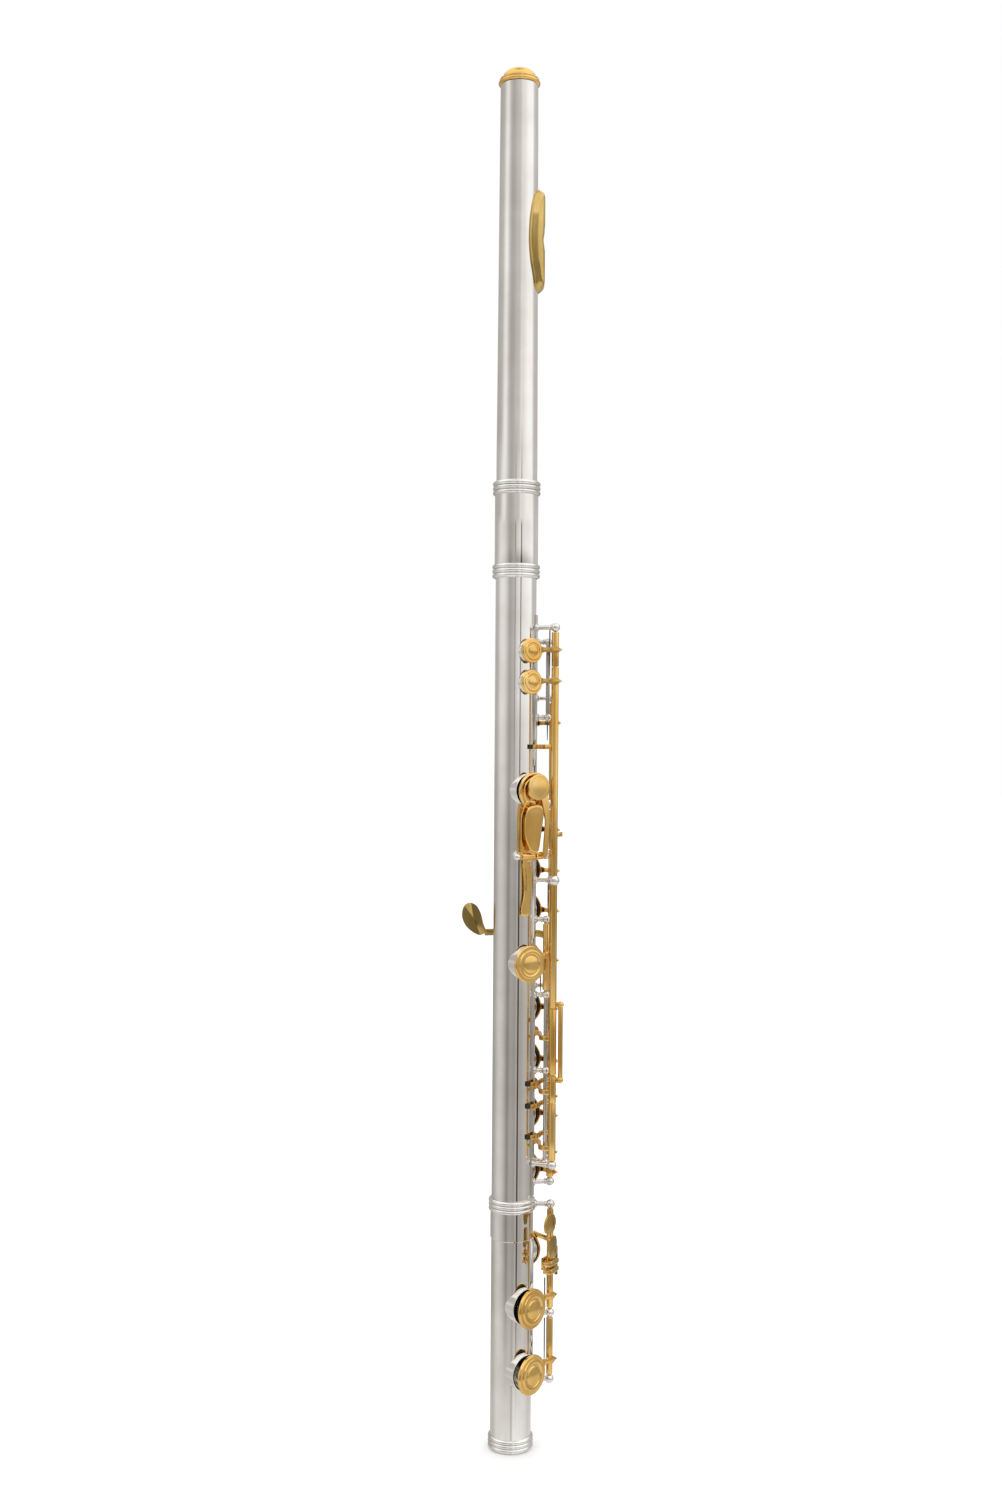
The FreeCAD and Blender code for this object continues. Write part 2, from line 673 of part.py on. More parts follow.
def thumb_key():
    cup_x = THUMB[0] - THUMB_HINGE_Z
    cup = cup_shell(THUMB[1])
    cup.translate(Vector(cup_x, 0, 0))
    arm = smooth_plate([(0.5, 3.6), (10, 4.2), (20, 4.4), (cup_x - 5.5, 3.6), (cup_x - 4.6, 5.4),
                        (20, 7.6), (10, 7.4), (0.5, 6.6)], CUP_TOP - 0.5, CUP_TOP + 0.4)
    plate = smooth_plate([(2.0, 1.0), (3.2, -1.2), (12.0, -2.2), (20.5, -2.9), (24.2, -1.2),
                          (24.6, 3.4), (22.6, 6.6), (16.0, 7.6), (8.5, 6.6), (3.0, 3.6)], 17.0, 18.3)
    stem = Part.makeBox(5.0, 3.0, 3.6, Vector(2.4, 1.0, 14.6))
    tail = smooth_plate([(1.0, 3.4), (-10, 3.3), (-20, 3.9), (-28.2, 4.2), (-29.2, 1.6),
                         (-28.4, -0.7), (-20, -1.0), (-10, -1.3), (-4.0, -0.6), (1.0, 0.4)], 12.9, 14.1)
    neck = Part.makeBox(3.4, 4.0, 2.6, Vector(-2.6, -0.6, 12.9))
    barrel_part = cross_barrel(-0.6, 7.1, 1.7)
    shapes = [cup, arm, plate, stem, tail, neck, barrel_part]
    hole = cross_barrel(-12, 12, 0.78)
    whole = fused(shapes).cut(hole)
    save("thumb_key", thumb_swing([thumb_frame(whole)], THUMB_OPEN))
    pad = pad_disc(THUMB[1])
    pad.translate(Vector(cup_x, 0, 0))
    save("thumb_pad", thumb_swing([thumb_frame(pad)], THUMB_OPEN))
    felt = Part.makeBox(3.0, 3.6, 0.6, Vector(-28.6, -0.2, 12.28))
    save("thumb_felt", thumb_swing([thumb_frame(felt)], THUMB_OPEN))


def thumb_bb_lever():
    disc_x = 319.3 - THUMB_HINGE_Z
    disc = turned([(0, 19.2), (5.6, 19.2), (6.2, 19.8), (6.2, 20.2), (5.7, 20.55), (0, 20.3)])
    disc.translate(Vector(disc_x, 0.4, 0))
    arm = smooth_plate([(0.0, -3.0), (8, -3.9), (18, -4.2), (26, -3.2), (30.5, -1.0), (30.5, -4.6),
                        (26, -6.2), (18, -6.6), (8, -6.2), (0.0, -5.4)], 18.4, 19.5)
    riser = Part.makeBox(2.4, 2.0, 3.8, Vector(-0.4, -5.3, 15.4))
    barrel_part = cross_barrel(-5.5, -1.0, 1.7)
    whole = fused([disc, arm, riser, barrel_part]).cut(cross_barrel(-12, 12, 0.78))
    save("thumb_bb_lever", thumb_frame(whole))


# ---- foot keys ----

TOUCH_SIDE = -36.0
TOUCH_LOW = 20.0                 # underside of the foot touches
TOUCH_Y = -2.6                   # their centre line, round the tube
ROLLER_R = TOUCH_LOW + 0.7
CSHARP_ROLLER_Z = 91.9
C_ROLLER_Z = 88.2
ROLLER_HALF = 3.9
CORE = 1.1


TOUCH_ARM = ((18.9, -1.6), (20.3, -3.6), (20.6, -5.9), (19.9, -8.2))
RISER_FOOT = ((19.2, -1.6), (21.5, -2.6))
RISER = ((21.1, -1.9), (21.2, -3.9))


def foot_touch(points, z):
    shifted = [(x, y + TOUCH_Y) for x, y in points]
    return outward(smooth_plate(shifted, TOUCH_LOW, TOUCH_LOW + 1.3), TOUCH_SIDE, z)


def roller_frame(z):
    # A fork and axle that hold a roller lying across the tube.
    shapes = []
    low = TOUCH_Y - ROLLER_HALF - 1.1
    for y in (low, TOUCH_Y + ROLLER_HALF + 0.2):
        shapes.append(block(TOUCH_SIDE, (z - 0.9, z + 0.9), (y, y + 0.9), (ROLLER_R - 2.7, ROLLER_R + 1.0)))
    axle = Part.makeCylinder(0.4, 2 * ROLLER_HALF + 2, Vector(0, low + 0.1, ROLLER_R), Vector(0, 1, 0))
    shapes.append(outward(axle, TOUCH_SIDE, z))
    shapes.append(block(TOUCH_SIDE, (z - 0.6, z + 0.6), (low, -low + 2 * TOUCH_Y), (ROLLER_R - 2.7, ROLLER_R - 1.8)))
    return shapes


def roller(z):
    half = ROLLER_HALF
    shape = turned([(0.48, -half), (1.15, -half), (1.5, 0.6 - half), (1.5, half - 0.6), (1.15, half),
                    (0.48, half)])
    shape.rotate(Vector(0, 0, 0), Vector(1, 0, 0), 90)
    shape.translate(Vector(0, TOUCH_Y, ROLLER_R))
    return outward(shape, TOUCH_SIDE, z)


def eflat_key():
    touch = foot_touch([(-3.8, 3.4), (0.0, 4.4), (3.6, 2.6), (4.6, -0.6), (3.4, -3.6), (0.0, -4.4),
                        (-3.8, -3.4), (-4.4, 0.0)], 110.4)
    shapes = [
        key_cup(EFLAT, EFLAT_SIDE), pointed_arm(FOOT, EFLAT, EFLAT_SIDE, FOOT_HUB, 3.0, 7.2),
        rod(FOOT_HUB, 97.3, 115.0, FOOT), touch, strip(TOUCH_ARM, 1.3, 108.8, 111.8)]
    save("eflat_key", fused(shapes).cut(rod(FOOT_STEEL + RUN, 90, 120, FOOT)))
    save("eflat_pad", key_pad(EFLAT, EFLAT_SIDE))


def low_csharp_key():
    touch = foot_touch([(-4.6, 3.6), (0.0, 4.3), (4.4, 3.6), (5.0, 0.0), (4.2, -3.4), (0.0, -4.2),
                        (-4.6, -3.6), (-5.0, 0.0)], 99.4)
    link = (TOUCH_Y - 0.9, TOUCH_Y + 0.9)
    # The arm runs up outside the low C touch's hub, then across to the touch.
    swing = [key_cup(LOW_CSHARP, FOOT_SIDE),
             pointed_arm(FOOT, LOW_CSHARP, FOOT_SIDE, FOOT_HUB, 3.4, 3.6), touch,
             strip(RISER_FOOT, 1.3, 84.0, 89.8), strip(RISER, 1.3, 84.0, 97.8),
             strip(RISER + TOUCH_ARM[-2:], 1.3, 95.2, 97.8),
             block(TOUCH_SIDE, (CSHARP_ROLLER_Z - 0.5, 96.4), link, (ROLLER_R - 2.6, ROLLER_R - 1.8)),
             block(TOUCH_SIDE, (93.9, 96.4), link, (ROLLER_R - 2.6, TOUCH_LOW + 0.3))]
    swing += roller_frame(CSHARP_ROLLER_Z)
    swing = swung(swing, FOOT, OPEN)
    swing.append(rod(FOOT_HUB, 67.6, 90.0, FOOT))
    save("low_csharp_key", fused(swing).cut(rod(CORE + RUN, 60, 94, FOOT)))
    save("low_csharp_pad", swung([key_pad(LOW_CSHARP, FOOT_SIDE)], FOOT, OPEN))
    save("csharp_roller", swung([roller(CSHARP_ROLLER_Z)], FOOT, OPEN))


def low_c_key():
    stem = (TOUCH_Y - 0.9, TOUCH_Y + 0.9)
    swing = [key_cup(LOW_C, FOOT_SIDE), pointed_arm(FOOT, LOW_C, FOOT_SIDE, FOOT_HUB, 3.4, 4.0),
             block(TOUCH_SIDE, (90.8, 93.2), (-10.2, TOUCH_Y + 0.9), (15.0, 16.3)),
             block(TOUCH_SIDE, (C_ROLLER_Z - 0.6, 93.2), stem, (15.0, 16.3)),
             block(TOUCH_SIDE, (C_ROLLER_Z - 0.6, C_ROLLER_Z + 0.6), stem, (15.0, ROLLER_R - 2.0))]
    swing += roller_frame(C_ROLLER_Z)
    swing = swung(swing, FOOT, OPEN)
    swing += [rod(CORE, 35.4, 96.9, FOOT), rod(FOOT_HUB, 35.4, 62.6, FOOT), rod(FOOT_HUB, 90.4, 96.9, FOOT)]
    save("low_c_key", fused(swing).cut(rod(FOOT_STEEL + RUN, 30, 100, FOOT)))
    save("low_c_pad", swung([key_pad(LOW_C, FOOT_SIDE)], FOOT, OPEN))
    save("c_roller", swung([roller(C_ROLLER_Z)], FOOT, OPEN))


def foot_hardware():
    save("foot_rib", rib(27.0, 100.5, -14.0, 8.0, FOOT_HOLES))
    hole = FOOT_STEEL + 0.02
    posts = [post(FOOT, FOOT_POST_TOP, hole, BALL, 11.3),
             post(FOOT, FOOT_POST_MID, CORE + RUN), post(FOOT, FOOT_POST_LOW, hole)]
    rooms = [tone_hole_room(cup, FOOT_SIDE) for cup in (LOW_CSHARP, LOW_C)]
    save("foot_posts", [shape.cut(rooms) for shape in posts])
    save("foot_steel", rod(FOOT_STEEL, 31.2, 119.3, FOOT))
    save("foot_springs", [needle(FOOT, 68.6, 82.0, 2.6, 20), needle(FOOT, 40.0, 62.6, 2.6, 20)])


def main():
    os.makedirs("parts", exist_ok=True)
    save("foot_tube", foot_tube())
    save("foot_beads", [bead_ring(0.2, 6.2, TUBE, 10.9), bead_ring(114.4, 120.4, TUBE + 0.45, 11.3)])
    foot_hardware()
    eflat_key()
    low_csharp_key()
    low_c_key()
    save("body_tube", body_tube())
    save("barrel", barrel())
    save("barrel_beads", [bead_ring(419.7, 426.3, BARREL_OUT, 11.6), bead_ring(459.8, 466.3, BARREL_OUT, 11.6)])
    save("body_rib", rib(122.0, 402.0, RIB_LOW_DEG, RIB_HIGH_DEG, BODY_HOLES))
    save("body_posts", body_posts())
    save("thumb_posts", thumb_posts())
    save("thumb_pin", thumb_pin(0.7))
    save("steels", steels())
    save("body_springs", body_springs())
    finger_key("csharp", [CSHARP], 312.5, 359.6, (338.4,))
    finger_key("bb", [BFLAT], 288.6, 307.6)
    finger_key("a", [A_CUP], 268.4, 288.2)
    finger_key("g", [G_UPPER, G_LOWER], 224.9, 268.0)
    finger_key("fsharp", [FSHARP], 198.8, 220.1)
    finger_key("f", [F_CUP], 168.9, 198.4, (176.5,))
    finger_key("e", [E_CUP], 140.0, 168.6, (151.0, 165.8))
    finger_key("d", [D_CUP], 129.4, 135.1)
    d_trill_key()
    dsharp_trill_key()
    bb_side_lever()
    gsharp_key()
    thumb_key()
    thumb_bb_lever()
    save("head_tube", head_tube())
    save("lip_plate", lip_plate())
    save("lip_riser", lip_riser())
    save("crown", crown())
    save("head_cork", head_cork())
    save("cork_screw", cork_screw())


main()
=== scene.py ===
import math
import bmesh
import bpy
from mathutils import Matrix, Vector


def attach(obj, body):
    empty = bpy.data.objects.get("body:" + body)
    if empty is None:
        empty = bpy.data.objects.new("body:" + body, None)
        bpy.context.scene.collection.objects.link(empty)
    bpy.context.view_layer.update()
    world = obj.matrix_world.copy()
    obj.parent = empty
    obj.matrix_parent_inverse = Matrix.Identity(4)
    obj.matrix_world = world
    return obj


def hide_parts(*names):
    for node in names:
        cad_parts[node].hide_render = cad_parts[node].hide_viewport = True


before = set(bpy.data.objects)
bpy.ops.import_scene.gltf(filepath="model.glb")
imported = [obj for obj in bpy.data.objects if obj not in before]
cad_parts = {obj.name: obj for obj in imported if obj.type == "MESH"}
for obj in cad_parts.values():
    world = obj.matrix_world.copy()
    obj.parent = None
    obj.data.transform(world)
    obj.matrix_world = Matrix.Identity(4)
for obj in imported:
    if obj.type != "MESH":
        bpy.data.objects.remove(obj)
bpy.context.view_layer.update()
print("frame loaded:", len(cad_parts), "nodes")

mm = 0.001
up = Vector((0, 0, 1))

# the lines that keys turn on, and the rows of cups round the tube, in mm and degrees
lines = {"main": (18.4, 4.5), "trill": (19.0, -6.5), "side": (15.7, -1.5), "foot": (18.6, -1.0)}
rows = {"finger": 70.0, "thumb": -54.0, "foot": -50.0, "eflat": 62.0, "touch": -36.0}
keyOpen = 8.5
thumbOpen = 4.5


# shader building

class Val:
    # a shader socket that can be used in sums
    def __init__(self, tree, socket):
        self.tree = tree
        self.socket = socket

    def math(self, operation, other=None, flip=False):
        node = self.tree.nodes.new("ShaderNodeMath")
        node.operation = operation
        values = [self, other] if other is not None else [self]
        if flip:
            values.reverse()
        for place, value in enumerate(values):
            if isinstance(value, Val):
                self.tree.links.new(value.socket, node.inputs[place])
            else:
                node.inputs[place].default_value = value
        return Val(self.tree, node.outputs[0])

    def __add__(self, other):
        return self.math("ADD", other)

    def __radd__(self, other):
        return self.math("ADD", other, True)

    def __sub__(self, other):
        return self.math("SUBTRACT", other)

    def __rsub__(self, other):
        return self.math("SUBTRACT", other, True)

    def __mul__(self, other):
        return self.math("MULTIPLY", other)

    def __rmul__(self, other):
        return self.math("MULTIPLY", other, True)


class Finish:
    # a material, or the world, with one method that adds any node
    def __init__(self, tree):
        self.tree = tree
        self.tree.nodes.clear()

    def node(self, kind, settings=None, **sockets):
        node = self.tree.nodes.new(kind)
        for key, value in (settings or {}).items():
            if key == "stops":
                ramp = node.color_ramp
                while len(ramp.elements) < len(value):
                    ramp.elements.new(1.0)
                for element, (place, colour) in zip(ramp.elements, value):
                    element.position = place
                    element.color = colour
            else:
                setattr(node, key, value)
        for name, value in sockets.items():
            place = int(name[1:]) if name[0] == "i" and name[1:].isdigit() else name.replace("_", " ")
            if isinstance(value, Val):
                self.tree.links.new(value.socket, node.inputs[place])
            elif value is not None:
                node.inputs[place].default_value = value
        return node

    def out(self, node, place=0):
        return Val(self.tree, node.outputs[place])

    def mixColour(self, share, first, second):
        node = self.node("ShaderNodeMix", {"data_type": "RGBA"})
        for place, value in ((0, share), (6, first), (7, second)):
            if isinstance(value, Val):
                self.tree.links.new(value.socket, node.inputs[place])
            else:
                node.inputs[place].default_value = value
        return self.out(node, 2)

    def noise(self, where, size, detail=3.0, rough=0.55):
        node = self.node("ShaderNodeTexNoise", Vector=where, Scale=size, Detail=detail, Roughness=rough)
        return self.out(node, 0)

    def span(self, value, low, high, toLow=0.0, toHigh=1.0):
        node = self.node("ShaderNodeMapRange", {"interpolation_type": "SMOOTHSTEP"},
                         Value=value, From_Min=low, From_Max=high, To_Min=toLow, To_Max=toHigh)
        return self.out(node)


def finish(name, build):
    material = bpy.data.materials.new(name)
    material.use_nodes = True
    paint = Finish(material.node_tree)
    shader = build(paint)
    output = paint.node("ShaderNodeOutputMaterial")
    material.node_tree.links.new(shader.outputs[0], output.inputs[0])
    return material


def stretched(paint, x, y, z):
    # object coordinates pulled out along an axis
    place = paint.node("ShaderNodeTexCoord")
    node = paint.node("ShaderNodeMapping", Vector=paint.out(place, 3), Scale=(x, y, z))
    return paint.out(node)


# colours are linear; streak is how strongly the drawing lines show, cloud how uneven the shine is
metals = {
    "silverTube": {"dark": (0.76, 0.73, 0.68), "light": (0.95, 0.935, 0.91), "rough": 0.045, "cloud": 0.035,
                   "streak": 0.12, "along": 9.0, "across": 950.0},
    "silverPart": {"dark": (0.72, 0.69, 0.65), "light": (0.95, 0.94, 0.92), "rough": 0.06, "cloud": 0.05,
                   "streak": 0.05, "along": 400.0, "across": 400.0},
    "goldKey": {"dark": (0.74, 0.40, 0.07), "light": (0.98, 0.69, 0.27), "rough": 0.065, "cloud": 0.06,
                "streak": 0.05, "along": 260.0, "across": 260.0},
    # the satin gold below is rougher; its darker colours are painted shade, standing in for the dark reflections on
    # the lip plate, the G sharp leaf and arm, the foot touches and the rollers
    "goldSatinPaintedShade": {"dark": (0.42, 0.27, 0.07), "light": (0.80, 0.58, 0.22), "rough": 0.10, "cloud": 0.08,
                  "streak": 0.12, "along": 60.0, "across": 700.0},
    "steelRod": {"dark": (0.50, 0.49, 0.48), "light": (0.76, 0.75, 0.74), "rough": 0.12, "cloud": 0.06,
                 "streak": 0.15, "along": 900.0, "across": 60.0},
    "springSteel": {"dark": (0.07, 0.08, 0.13), "light": (0.20, 0.21, 0.27), "rough": 0.20, "cloud": 0.08,
                    "streak": 0.10, "along": 500.0, "across": 500.0},
}


def metal(name):
    look = metals[name]

    def build(paint):
        lengthwise = stretched(paint, look["across"], look["across"], look["along"])
        plain = stretched(paint, 1, 1, 1)
        streaks = paint.noise(lengthwise, 1.0, 2.0)
        clouds = paint.noise(plain, 38.0, 4.0)
        specks = paint.noise(plain, 1400.0, 1.0)
        wipe = paint.noise(stretched(paint, 60, 60, 14), 1.0, 3.0, 0.7)
        tarnish = paint.span(clouds * 0.6 + wipe * 0.4, 0.34, 0.66)
        share = tarnish * 0.72 + streaks * look["streak"] + 0.16
        colour = paint.mixColour(share, (*look["dark"], 1), (*look["light"], 1))
        rough = look["rough"] + (1 - tarnish) * look["cloud"] + (specks - 0.5) * 0.03 + (streaks - 0.5) * 0.04
        lift = streaks * 0.7 + specks * 0.3
        bump = paint.node("ShaderNodeBump", Strength=0.05, Distance=0.00003, Height=lift)
        return paint.node("ShaderNodeBsdfPrincipled", Base_Color=colour, Metallic=1.0, Roughness=rough,
                          Normal=paint.out(bump))

    return finish(name, build)


def padSkin(paint):
    plain = stretched(paint, 1, 1, 1)
    pores = paint.node("ShaderNodeTexVoronoi", Vector=plain, Scale=2600.0)
    creases = paint.noise(plain, 420.0, 5.0, 0.7)
    colour = paint.mixColour(paint.span(creases, 0.3, 0.7), (0.008, 0.007, 0.006, 1), (0.030, 0.025, 0.021, 1))
    lift = paint.out(pores, 0) * 0.4 + creases * 0.6
    bump = paint.node("ShaderNodeBump", Strength=0.35, Distance=0.00008, Height=lift)
    return paint.node("ShaderNodeBsdfPrincipled", Base_Color=colour, Roughness=0.34 + creases * 0.22,
                      Normal=paint.out(bump))


def feltFluff(paint):
    plain = stretched(paint, 1, 1, 1)
    fibres = paint.noise(plain, 3200.0, 6.0, 0.8)
    clumps = paint.noise(plain, 700.0, 2.0)
    colour = paint.mixColour(fibres * 0.6 + clumps * 0.4, (0.006, 0.006, 0.006, 1), (0.045, 0.042, 0.04, 1))
    bump = paint.node("ShaderNodeBump", Strength=0.9, Distance=0.00015, Height=fibres)
    return paint.node("ShaderNodeBsdfPrincipled", Base_Color=colour, Roughness=0.86 + fibres * 0.12,
                      Normal=paint.out(bump))


def corkGrain(paint):
    plain = stretched(paint, 1, 1, 1)
    cells = paint.node("ShaderNodeTexVoronoi", Vector=plain, Scale=900.0)
    grains = paint.noise(plain, 260.0, 4.0, 0.6)
    share = paint.out(cells, 0) * 0.5 + grains * 0.6
    colour = paint.mixColour(share, (0.20, 0.10, 0.045, 1), (0.50, 0.33, 0.18, 1))
    bump = paint.node("ShaderNodeBump", Strength=0.6, Distance=0.0001, Height=share)
    return paint.node("ShaderNodeBsdfPrincipled", Base_Color=colour, Roughness=0.72 + grains * 0.15,
                      Normal=paint.out(bump))


finishes = {name: metal(name) for name in metals}
finishes["padSkin"] = finish("padSkin", padSkin)
finishes["felt"] = finish("felt", feltFluff)
finishes["cork"] = finish("cork", corkGrain)
print("finishes made:", len(finishes))


# geometry nodes

class Tree:
    # a geometry node tree with named inputs, ending in Realize Instances and Set Material
    def __init__(self, name, inputs):
        self.group = bpy.data.node_groups.new(name, "GeometryNodeTree")
        face = self.group.interface
        face.new_socket("Geometry", in_out="INPUT", socket_type="NodeSocketGeometry")
        for label, kind in inputs.items():
            face.new_socket(label, in_out="INPUT", socket_type="NodeSocket" + kind)
        face.new_socket("Finish", in_out="INPUT", socket_type="NodeSocketMaterial")
        face.new_socket("Geometry", in_out="OUTPUT", socket_type="NodeSocketGeometry")
        self.start = self.group.nodes.new("NodeGroupInput")

    def given(self, label):
        return self.start.outputs[label]

    def add(self, kind, settings=None, **sockets):
        node = self.group.nodes.new(kind)
        for key, value in (settings or {}).items():
            setattr(node, key, value)
        for name, value in sockets.items():
            place = int(name[1:]) if name[0] == "i" and name[1:].isdigit() else name.replace("_", " ")
            if isinstance(value, bpy.types.NodeSocket):
                self.group.links.new(value, node.inputs[place])
            else:
                node.inputs[place].default_value = value
        return node.outputs

    def sum(self, operation, first, second=0.0):
        return self.add("ShaderNodeMath", {"operation": operation}, i0=first, i1=second)[0]

    def end(self, geometry):
        real = self.add("GeometryNodeRealizeInstances", Geometry=geometry)[0]
        done = self.add("GeometryNodeSetMaterial", Geometry=real, Material=self.given("Finish"))[0]
        output = self.group.nodes.new("NodeGroupOutput")
        self.group.links.new(done, output.inputs[0])
        return self.group


def turnedTree():
    # spins an outline of (radius, 0, height) points round Z
    tree = Tree("turnedPart", {"Outline": "Object", "Steps round": "Int"})
    outline = tree.add("GeometryNodeObjectInfo", Object=tree.given("Outline"))["Geometry"]
    count = tree.add("GeometryNodeAttributeDomainSize", Geometry=outline)[0]
    columns = tree.sum("ADD", tree.given("Steps round"), 1.0)
    sheet = tree.add("GeometryNodeMeshGrid", Vertices_X=columns, Vertices_Y=count)[0]
    index = tree.add("GeometryNodeInputIndex")[0]
    column = tree.sum("FLOOR", tree.sum("DIVIDE", tree.sum("ADD", index, 0.5), count))
    step = tree.sum("SUBTRACT", index, tree.sum("MULTIPLY", column, count))
    place = tree.add("GeometryNodeInputPosition")[0]
    point = tree.add("GeometryNodeSampleIndex", {"data_type": "FLOAT_VECTOR"}, Geometry=outline,
                     Value=place, Index=step)[0]
    parts = tree.add("ShaderNodeSeparateXYZ", i0=point)
    angle = tree.sum("MULTIPLY", tree.sum("DIVIDE", column, tree.given("Steps round")), 2 * math.pi)
    x = tree.sum("MULTIPLY", parts[0], tree.sum("COSINE", angle))
    y = tree.sum("MULTIPLY", parts[0], tree.sum("SINE", angle))
    spot = tree.add("ShaderNodeCombineXYZ", X=x, Y=y, Z=parts[2])[0]
    spun = tree.add("GeometryNodeSetPosition", Geometry=sheet, Position=spot)[0]
    closed = tree.add("GeometryNodeMergeByDistance", Geometry=spun, Distance=0.000002)[0]
    return tree.end(closed)


def copiesTree():
    # one part stood at every incoming point, turned by that point's own angles
    tree = Tree("standingCopies", {"Part": "Object", "Size": "Float"})
    part = tree.add("GeometryNodeObjectInfo", Object=tree.given("Part"))["Geometry"]
    angles = tree.add("GeometryNodeInputNamedAttribute", {"data_type": "FLOAT_VECTOR"}, Name="angles")[0]
    turn = tree.add("FunctionNodeEulerToRotation", Euler=angles)[0]
    size = tree.add("ShaderNodeCombineXYZ", X=tree.given("Size"), Y=tree.given("Size"), Z=tree.given("Size"))[0]
    copies = tree.add("GeometryNodeInstanceOnPoints", Points=tree.given("Geometry"), Instance=part,
                      Rotation=turn, Scale=size)[0]
    return tree.end(copies)


def barTree():
    # a flat bar with rounded edges swept along the incoming line
    tree = Tree("bentBar", {"Wide": "Float", "Thick": "Float", "Edge": "Float"})
    line = tree.add("GeometryNodeMeshToCurve", Mesh=tree.given("Geometry"))[0]
    upright = tree.add("GeometryNodeSetCurveNormal", {"mode": "Z_UP"}, Curve=line)[0]
    section = tree.add("GeometryNodeCurvePrimitiveQuadrilateral", Width=tree.given("Thick"),
                       Height=tree.given("Wide"))[0]
    rounded = tree.add("GeometryNodeFilletCurve", {"mode": "POLY"}, Curve=section, Count=3,
                       Radius=tree.given("Edge"), Limit_Radius=True)[0]
    bar = tree.add("GeometryNodeCurveToMesh", Curve=upright, Profile_Curve=rounded, Fill_Caps=True)[0]
    return tree.end(bar)


def beadTree():
    # round beads stacked up the tube
    tree = Tree("beadedRing", {"Ring radius": "Float", "Bead radius": "Float", "Pitch": "Float",
                               "Beads": "Int"})
    ring = tree.add("GeometryNodeCurvePrimitiveCircle", {"mode": "RADIUS"}, Resolution=120,
                    Radius=tree.given("Ring radius"))[0]
    section = tree.add("GeometryNodeCurvePrimitiveCircle", {"mode": "RADIUS"}, Resolution=20,
                       Radius=tree.given("Bead radius"))[0]
    bead = tree.add("GeometryNodeCurveToMesh", Curve=ring, Profile_Curve=section)[0]
    rise = tree.add("ShaderNodeCombineXYZ", Z=tree.given("Pitch"))[0]
    places = tree.add("GeometryNodeMeshLine", Count=tree.given("Beads"), Offset=rise)[0]
    stack = tree.add("GeometryNodeInstanceOnPoints", Points=places, Instance=bead)[0]
    return tree.end(stack)


trees = {"turned": turnedTree(), "copies": copiesTree(), "bar": barTree(), "beads": beadTree()}


def grown(name, base, tree, material, **inputs):
    # runs a tree on a base object and gives the result as a plain mesh object
    modifier = base.modifiers.new("grow", "NODES")
    modifier.node_group = trees[tree]
    inputs["Finish"] = finishes[material]
    for item in trees[tree].interface.items_tree:
        label = item.name.replace(" ", "_")
        if item.in_out == "INPUT" and label in inputs:
            modifier[item.identifier] = inputs[label]
    bpy.context.view_layer.update()
    evaluated = base.evaluated_get(bpy.context.evaluated_depsgraph_get())
    data = bpy.data.meshes.new_from_object(evaluated)
    base.modifiers.remove(modifier)
    bpy.data.objects.remove(base)
    piece = bpy.data.objects.new(name, data)
    bpy.context.collection.objects.link(piece)
    return piece


def meshObject(name, verts, faces=(), edges=(), material=None):
    data = bpy.data.meshes.new(name)
    data.from_pydata([[c * mm for c in v] for v in verts], edges, faces)
    if material:
        data.materials.append(finishes[material])
    piece = bpy.data.objects.new(name, data)
    bpy.context.collection.objects.link(piece)
    return piece


def placed(piece, matrix):
    # the matrix is in mm, and goes into the mesh
    scaled = matrix.copy()
    scaled.translation = matrix.translation * mm
    piece.data.transform(scaled)
    return piece


def outward(side, z):
    # local x up the tube, local z out from the bore, local y against the angle
    a = math.radians(side)
    out = Vector((math.cos(a), math.sin(a), 0))
    return Matrix(((0, out.y, out.x, 0), (0, -out.x, out.y, 0), (1, 0, 0, z), (0, 0, 0, 1)))


def about(line, degrees):
    centre = Vector((*lines[line], 0))
    return Matrix.Translation(centre) @ Matrix.Rotation(math.radians(degrees), 4, "Z") @ \
        Matrix.Translation(-centre)


def turned(name, outline, material, steps=64, matrix=None):
    base = meshObject("outline", [(r, 0, h) for r, h in outline],
                      edges=[(i, i + 1) for i in range(len(outline) - 1)])
    carrier = meshObject("carrier", [(0, 0, 0)])
    piece = grown(name, carrier, "turned", material, Outline=base, Steps_round=steps)
    bpy.data.objects.remove(base)
    tidyNormals(piece)
    return placed(piece, matrix) if matrix else piece


def tidyNormals(piece, merge=0.000002):
    work = bmesh.new()
    work.from_mesh(piece.data)
    bmesh.ops.remove_doubles(work, verts=work.verts, dist=merge)
    bmesh.ops.recalc_face_normals(work, faces=work.faces)
    work.to_mesh(piece.data)
    work.free()
    return piece


def smoothed(piece, degrees=32.0):
    for polygon in piece.data.polygons:
        polygon.use_smooth = True
    piece.data.set_sharp_from_angle(angle=math.radians(degrees))
    return piece


def copies(name, part, spots, material, size=1.0):
    # spots are matrices in mm
    base = meshObject("spots", [m.translation for m in spots])
    angles = base.data.attributes.new("angles", "FLOAT_VECTOR", "POINT")
    for i, m in enumerate(spots):
        angles.data[i].vector = m.to_euler()
    piece = grown(name, base, "copies", material, Part=part, Size=size)
    bpy.data.objects.remove(part)
    return piece


def smoothLine(points, closed=False, steps=12):
    # a Catmull-Rom line through the points
    path = [Vector(p) for p in points]
    count = len(path)
    if closed:
        ends = [path[-1]] + path + path[:2]
    else:
        ends = [path[0] * 2 - path[1]] + path + [path[-1] * 2 - path[-2]]
    line = []
    for i in range(1, count + 1 if closed else count):
        a, b, c, d = ends[i - 1:i + 3]
        for k in range(steps):
            t = k / steps
            line.append(0.5 * ((2 * b) + (c - a) * t + (2 * a - 5 * b + 4 * c - d) * t * t
                               + (3 * b - a - 3 * c + d) * t ** 3))
    return line if closed else line + [path[-1]]


